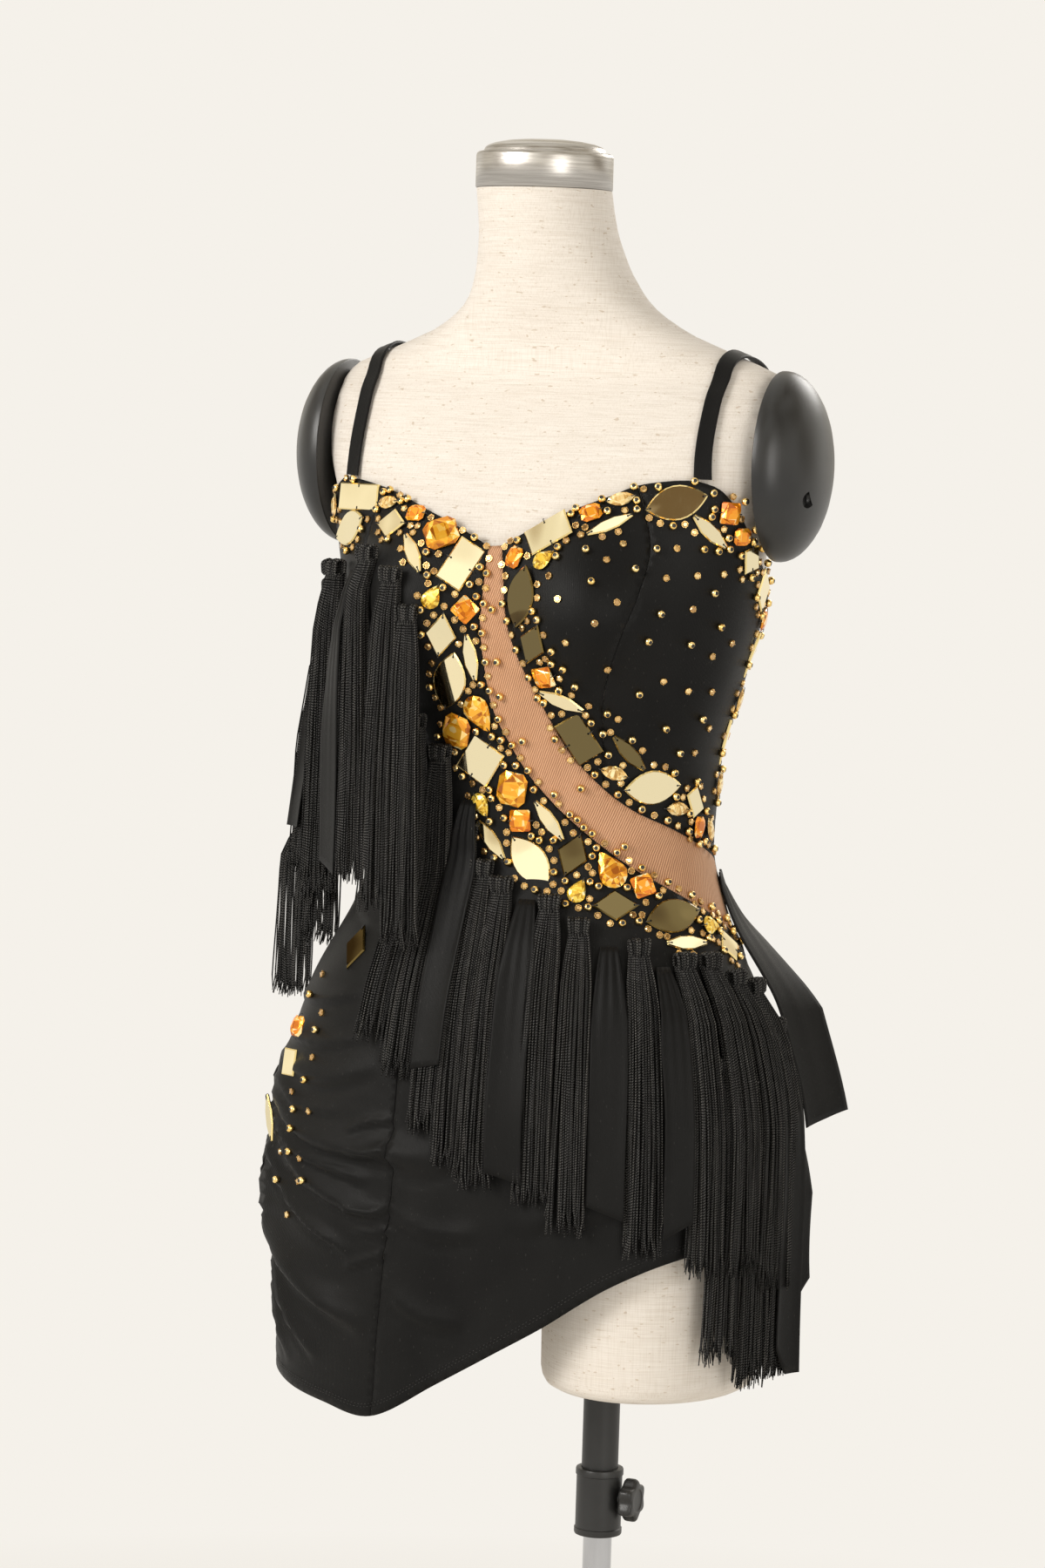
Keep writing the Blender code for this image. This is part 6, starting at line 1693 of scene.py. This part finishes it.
def tassel(row, material):
    """Make a looped head bound with thread, and the cords that hang from it."""
    draw = np.random.default_rng(sum(map(ord, row.name)) * 7 + int(row.height))
    hook = Hook(row.angle + row.ahead, row.height, row.length * 1.1 + 20)
    foot = row.height - HEAD_TALL
    twist, flare_share = math.radians(turned_from_edge(row.angle)), 1.0
    if row.free:
        twist, flare_share = math.radians(FREE_TWIST), FREE_FLARE
        fallen = np.clip((foot - hook.levels) / FREE_FROM, 0, 1)[:, None]
        last = round((row.length + HEAD_TALL) / SECTION_STEP)
        hook.table = np.maximum(hook.table, hook.table[0] + (hook.table[last] - hook.table[0]) * fallen)
    centre = hook.hung(0.0, foot, PANEL_OUT + HEAD_GAP)
    paths = []
    for i in range(HEAD_LOOPS):
        side = (i / (HEAD_LOOPS - 1) - 0.5) * (HEAD_WIDTH - 2 * LOOP_RADIUS)
        waver = draw.uniform(-0.3, 0.3)
        tall = HEAD_TALL - LOOP_RADIUS + draw.uniform(-0.9, 0.3)
        turn = np.linspace(0, math.pi, 7)
        depth = (HEAD_DEPTH - LOOP_RADIUS) / 2
        out = LOOP_RADIUS + depth - np.cos(turn) * depth
        rise = tall - depth * 0.8 + np.sin(turn) * depth * 0.8
        out = np.concatenate([[LOOP_RADIUS], out, [HEAD_DEPTH, HEAD_DEPTH - 1.2]])
        rise = np.concatenate([[0.0], rise, [0.0, BINDING_DROP]])
        flare = 0.90 + 0.18 * np.clip((rise - BINDING_DROP) / (tall - BINDING_DROP), 0, 1)
        side, out = swung(side * flare + waver, out, twist * HEAD_TWIST, HEAD_WIDTH * SWING_ROOM)
        paths.append(hook.about(centre, side, out) + (0, 0, 1) * rise[:, None])
    loops = cords(paths, LOOP_RADIUS, 6)

    paths = []
    shares = np.linspace(0, 1, CORD_STEPS) ** 0.85
    clump_sides = (np.arange(CLUMPS) + 0.5) / CLUMPS - 0.5 + draw.uniform(-0.05, 0.05, CLUMPS)
    clump_outs = draw.uniform(-CLUMP_DEPTH, CLUMP_DEPTH, CLUMPS)
    clump_sways = draw.uniform(-1.7, 1.7, CLUMPS)
    for column in range(CORD_COLUMNS):
        for deep in range(CORD_ROWS):
            wide = (column + 0.5) / CORD_COLUMNS - 0.5 + draw.uniform(-0.03, 0.03)
            layer = (deep + 0.5) / CORD_ROWS + draw.uniform(-0.05, 0.05)
            length = row.length * (1 + draw.uniform(*CORD_UNEVEN))
            length *= SHORT_CUT if draw.random() < SHORT_CORDS else 1
            clump = int(np.argmin(np.abs(clump_sides - wide)))
            gathered = np.clip(shares * 2.6 - 0.1, 0, 1)
            wide = wide + (clump_sides[clump] - wide) * CLUMP_PULL * gathered
            sway = draw.uniform(-1, 1) * 0.9 + clump_sways[clump]
            phase, swing = draw.uniform(0, math.tau), draw.uniform(0.2, 0.7)
            fall = np.clip((shares - 0.02) / 0.14, 0, 1) ** 0.6
            broad = (CORD_FALL + (CORD_FLARE - CORD_FALL) * shares) * flare_share
            broad = HEAD_WIDTH * HEAD_GRIP * (1 - fall) + broad * fall
            side = broad * wide + sway * shares ** 2 + row.lean * np.minimum(shares * 1.8, 1)
            side += swing * np.sin(phase + shares * 7) * np.sin(math.pi * np.minimum(shares * 1.5, 1) / 2)
            side += draw.uniform(-TIP_SPLAY, TIP_SPLAY) * np.clip((shares - 0.93) / 0.07, 0, 1) ** 2
            high = foot - length * shares
            settle = np.clip(shares * 6, 0, 1) ** 0.7
            near = PANEL_OUT + HEAD_GAP + HEAD_DEPTH * (0.1 + 0.65 * layer)
            far = LAYER_OUT[row.layer] + row.stand_off * np.minimum(shares * 2, 1) + LAYER_DEPTH * layer
            out = near * (1 - settle) + far * settle
            out += 0.5 * np.sin(phase * 2 + shares * 9) * shares + clump_outs[clump] * gathered
            turn = twist * (HEAD_TWIST + (1 - HEAD_TWIST) * np.clip(shares * 2.2, 0, 1))
            side, out = swung(side, out, turn, broad * SWING_ROOM)
            paths.append(hook.hung(side, high, out))
    hanging = cords(paths, CORD_RADIUS, CORD_SIDES)

    turns = np.linspace(0, math.tau, 15)
    out = HEAD_DEPTH / 2 + np.sin(turns) * (HEAD_DEPTH / 2 - 0.2)
    side, out = swung(np.cos(turns) * HEAD_WIDTH * 0.45, out, twist * HEAD_TWIST, HEAD_WIDTH * SWING_ROOM)
    wrap = hook.about(centre, side, out)
    binding = cords([wrap + (0, 0, BINDING_DROP - number * BINDING_STEP)
                     for number in range(BINDING_TURNS)], BINDING_RADIUS, 4)
    parts = (loops, hanging, binding)
    points, faces = merge([part[:2] for part in parts])
    piece = sheet_piece(row.name + "_fringe", points, faces, np.vstack([part[2] for part in parts]))
    placed(piece, "form", "rayon_fringe", material, row.name)


def chainette():
    """Braided rayon: painted shade in the grooves between the links and a painted highlight on each link,
    and each cord a little lighter or darker.
    """
    made, tree, shader = principled("black_rayon_chainette", {
        "Specular IOR Level": 0.14, "Roughness": 0.42})
    flat = coordinate(tree, "UV")
    split = node(tree, "SeparateXYZ", {0: flat})
    across = maths(tree, "MODULO", split.outputs[0], 2 * HALF_CORD)
    across = maths(tree, "ABSOLUTE", maths(tree, "SUBTRACT", across, HALF_CORD))
    chevron = maths(tree, "ADD", split.outputs[1], maths(tree, "MULTIPLY", across, 1.1))
    links = maths(tree, "SINE", maths(tree, "MULTIPLY", chevron, math.tau / LINK_LENGTH))
    link_relief_and_painted_light = span(tree, links, -1.0, 1.0, 0.0, 1.0)
    number = maths(tree, "FLOOR", maths(tree, "DIVIDE", split.outputs[0], CORD_PLAN))
    own = node(tree, "TexWhiteNoise", {"W": number}, noise_dimensions="1D").outputs["Value"]
    place = coordinate(tree)
    uneven = streaks(tree, place, (500, 500, 60), detail=2.0)
    # The links' relief also paints their colour: painted shade in the grooves, painted highlights on the
    # links
    tone = ramp(tree, link_relief_and_painted_light, [(0.25, (0.0040, 0.0040, 0.0038)), (0.60, (0.025, 0.0245, 0.0240)),
                                     (0.95, (0.120, 0.117, 0.113))])
    tone = darkened(tree, tone, 1.0, own, [
        (0.0, 0.38), (0.45, 0.85), (1.0, (1.30, 1.27, 1.22))])
    tone = darkened(tree, tone, 0.8, uneven, [(0.3, 0.45), (0.65, 1)])
    feed(tree, shader, {"Base Color": tone})
    bump(tree, shader, link_relief_and_painted_light, 0.9, 0.0004)
    return made


rayon = chainette()
for group, rows in TASSELS.items():
    for number, row in enumerate(rows, 1):
        tassel(Tassel(f"{group}_tassel_{number}", *row), rayon)


# ---------------------------------------------------------------- hanging strips
# Flat strips of the same jersey among the fringe, cut with raw ends that curl a little. Each
# is gathered to under half its width at the top and sewn in under the stones.
# Each strip of a group: angle, height, length, width and how far out it hangs, then its turn in
# degrees, how its end is cut (slant, point), how close it lies, how far it leans out at its
# tip, the share cut off it, and how many degrees it hangs from its place
Strip = namedtuple("Strip", "name angle height length width out twist slant point press flare cut ahead",
                   defaults=(0.0, 0.0, 0.0))
STRIPS = {
    "bust": ((-84, 1240, 168, 22, 29.0, 40, 0.0, 0.0, 0, 15),
             (-55, 1262, 205, 24, 8.4, 14, -0.04, 0.0, -9, 0, 0, 2.5)),
    "waist": ((-12.5, 1107, 184, 24, 17.0, -6, 0.03, 0.0, 4),),
    "hip": ((18.5, 1042, 184, 26, 17.0, 8, -0.04, 0.0, 4), (48.5, 1013, 174, 26, 9.0, -6, -0.05, 0.0, 0),
            (63, 1000, 180, 22, 24.5, 10, 0.06, 0.0, 6)),
    "side": ((107.5, 1058, 198, 50, 24.5, -46, 0.05, 0.0, 10, 17, 0.10, -4.0),
             (105, 934, 190, 30, 19.0, -46, 0.10, 0.04, 2), (91, 977, 254, 26, 29.0, -22, -0.08, 0.04, 9)),
    "back": ((-132, 1072, 210, 30, 9.0, 14, 0.08, 0.0, 0), (-158, 1062, 215, 30, 9.0, -10, -0.09, 0.0, 0),
             (146, 1058, 220, 30, 9.0, 8, 0.06, 0.0, 0)),
}
STRIP_TOP = 0.45
STRIP_WALL = 1.0
STRIP_ROWS = 40
STRIP_COLUMNS = 14


def strip(row, material):
    draw = np.random.default_rng(int(row.height * 3 + abs(row.angle)))
    hook = Hook(row.angle + row.ahead, row.height, row.length * 1.1 + 20)
    share, wide = np.meshgrid(np.linspace(0, 1, STRIP_ROWS + 1), np.linspace(-1, 1, STRIP_COLUMNS + 1),
                              indexing="ij")
    width = row.width * (STRIP_TOP + (1 - STRIP_TOP) * np.minimum(1.0, share * 3.6) ** 0.8)
    lift = np.clip(share / (0.10 + abs(row.twist) / 160), 0, 1) ** 0.7
    hanging = np.clip(share * 3, 0, 1)
    out = (PANEL_OUT + 1.8) * (1 - lift) + (row.out - row.press - abs(row.twist) * 0.26) * lift
    gathers = 1.3 * np.cos(math.tau * 1.6 * wide + draw.uniform(0, 6)) * np.exp(-share * 5)
    gathers *= np.clip(share * 14, 0.2, 1)
    bow = draw.uniform(0.8, 1.9) * draw.choice((-1, 1)) * (1 - wide ** 2) * hanging * 0.6
    curl = 2.2 * np.abs(wide) ** 3 * np.clip(share * 3 - 0.4, 0, 1) * draw.uniform(0.4, 1.0)
    wave = 0.9 * np.sin(share * draw.uniform(5, 9) + draw.uniform(0, 6) + wide * 0.7) * hanging
    out = out + row.flare * share ** 1.3 + 1.2 + gathers + bow + curl + wave
    sway = draw.uniform(-2.5, 2.5) * share ** 2 + 0.8 * np.sin(share * 6 + draw.uniform(0, 6)) * share
    uneven = (row.slant * (1 + wide) / 2 + row.point * np.abs(wide)) * share ** 3
    drop = row.length * (1 - row.cut) * share * (1 - uneven)
    turn = np.radians(row.twist) * np.clip((share - 0.05) / 0.5, 0, 1)
    edge_side = width / 2 * wide
    out = out - edge_side * np.sin(turn) + np.abs(np.sin(turn)) * width / 2
    places = hook.hung(edge_side * np.cos(turn) + sway, row.height - drop, out).reshape(-1, 3)
    flat = np.stack([wide * row.width / 2, row.length * share], axis=-1).reshape(-1, 2)
    count = STRIP_COLUMNS + 1
    faces = [((i + 1) * count + j, (i + 1) * count + j + 1, i * count + j + 1, i * count + j)
             for i in range(STRIP_ROWS) for j in range(STRIP_COLUMNS)]
    halves = [face[:3] for face in faces] + [(face[0], *face[2:]) for face in faces]
    area = flat_area(places, halves) * MM * MM
    piece = sheet_piece(row.name + "_jersey", places, faces, flat * MM)
    apply_modifier(piece, "SOLIDIFY", thickness=STRIP_WALL * MM, offset=0.0)
    placed(piece, "form", "black_knit", material, row.name)


for group, rows in STRIPS.items():
    for number, row in enumerate(rows, 1):
        strip(Strip(f"{group}_strip_{number}", *row), black_jersey)


# ---------------------------------------------------------------- studio
# A plain pale room: a floor that fades into the backdrop's colour, a large soft key light from
# the front left, a weaker fill from the right and a structured surround for the mirrors.
BACKDROP = (0.913, 0.880, 0.823)
TARGET_HEIGHT = 1.112
TARGET_SIDE = -0.022
AZIMUTH = 24.0
ELEVATION = 5.0
ROLL = 1.8
DISTANCE = 3.2
LENS = 103.2
FLOOR_SIZE = 60.0
LAMP_COLOUR = (1.0, 0.98, 0.95)
DIFFUSE_SHARE = 0.53  # of the surround that lights matt surfaces


def studio_floor():
    floor = primitive("plane", "studio_floor", size=FLOOR_SIZE)
    made, tree, shader = principled("pale_floor", {"Base Color": (0.83, 0.80, 0.75, 1), "Roughness": 0.7})
    place = coordinate(tree)
    reach = node(tree, "VectorMath", {0: place}, operation="LENGTH").outputs["Value"]
    far = span(tree, reach, 0.7, 2.2, 0.0, 1.0)
    glow = node(tree, "Emission", {"Color": (*BACKDROP, 1), "Strength": 1.0})
    blend = node(tree, "MixShader", {0: far, 1: shader.outputs[0], 2: glow.outputs[0]})
    feed(tree, tree.nodes["Material Output"], {"Surface": blend.outputs[0]})
    floor.data.materials.append(made)


def studio_world():
    world = bpy.data.worlds.new("studio_surround")
    bpy.context.scene.world = world
    world.use_nodes = True
    tree = world.node_tree
    way = coordinate(tree, "Generated")
    patches = node(tree, "TexNoise", {"Vector": way, "Scale": 3.4, "Detail": 1.0, "Roughness": 0.35})
    room = ramp(tree, patches.outputs["Fac"], [(0.36, (0.16, 0.11, 0.06)), (0.405, (0.62, 0.52, 0.38)),
                                               (0.47, (0.96, 0.90, 0.77)), (0.57, (1.04, 0.99, 0.88)),
                                               (0.60, (1.30, 1.25, 1.15))])
    path = node(tree, "LightPath", {})
    backdrop = mix_colour(tree, "MIX", path.outputs["Is Camera Ray"], room, (*BACKDROP, 1))
    dimmed = span(tree, path.outputs["Is Diffuse Ray"], 0.0, 1.0, 1.0, DIFFUSE_SHARE)
    feed(tree, tree.nodes["Background"], {"Color": backdrop, "Strength": dimmed})


def soft_light(name, place, aim, size, power):
    lamp = bpy.data.lights.new(name, "AREA")
    lamp.shape = "RECTANGLE"
    lamp.size, lamp.size_y = size
    lamp.energy = power
    lamp.color = LAMP_COLOUR
    made = linked(name, lamp)
    made.location = place
    made.rotation_euler = (Vector((0, 0, aim)) - Vector(place)).to_track_quat("-Z", "Y").to_euler()


def studio_camera():
    a, e, roll = math.radians(AZIMUTH), math.radians(ELEVATION), math.radians(ROLL)
    right = Vector((math.cos(a), math.sin(a), 0))
    back = Vector((math.sin(a) * math.cos(e), -math.cos(a) * math.cos(e), math.sin(e)))
    up = back.cross(right)
    target = Vector((0, 0, TARGET_HEIGHT)) + right * TARGET_SIDE
    leaned_right = right * math.cos(roll) + up * math.sin(roll)
    leaned_up = up * math.cos(roll) - right * math.sin(roll)
    lens = bpy.data.cameras.new("studio_camera")
    lens.sensor_fit = "VERTICAL"
    lens.sensor_height = 36.0
    lens.lens = LENS
    made = linked("studio_camera", lens)
    made.matrix_world = Matrix.Translation(target + back * DISTANCE) @ Matrix(
        (leaned_right, leaned_up, back)).transposed().to_4x4()
    bpy.context.scene.camera = made


studio_floor()
studio_world()
soft_light("key_light", (-1.6, -2.9, 2.5), 1.1, (1.5, 1.5), 95)
soft_light("fill_light", (2.6, -2.2, 1.6), 1.1, (1.2, 1.8), 27)
soft_light("back_light", (0.6, 2.6, 2.6), 1.2, (1.4, 1.0), 26)
studio_camera()
bpy.context.scene.view_settings.view_transform = "Standard"
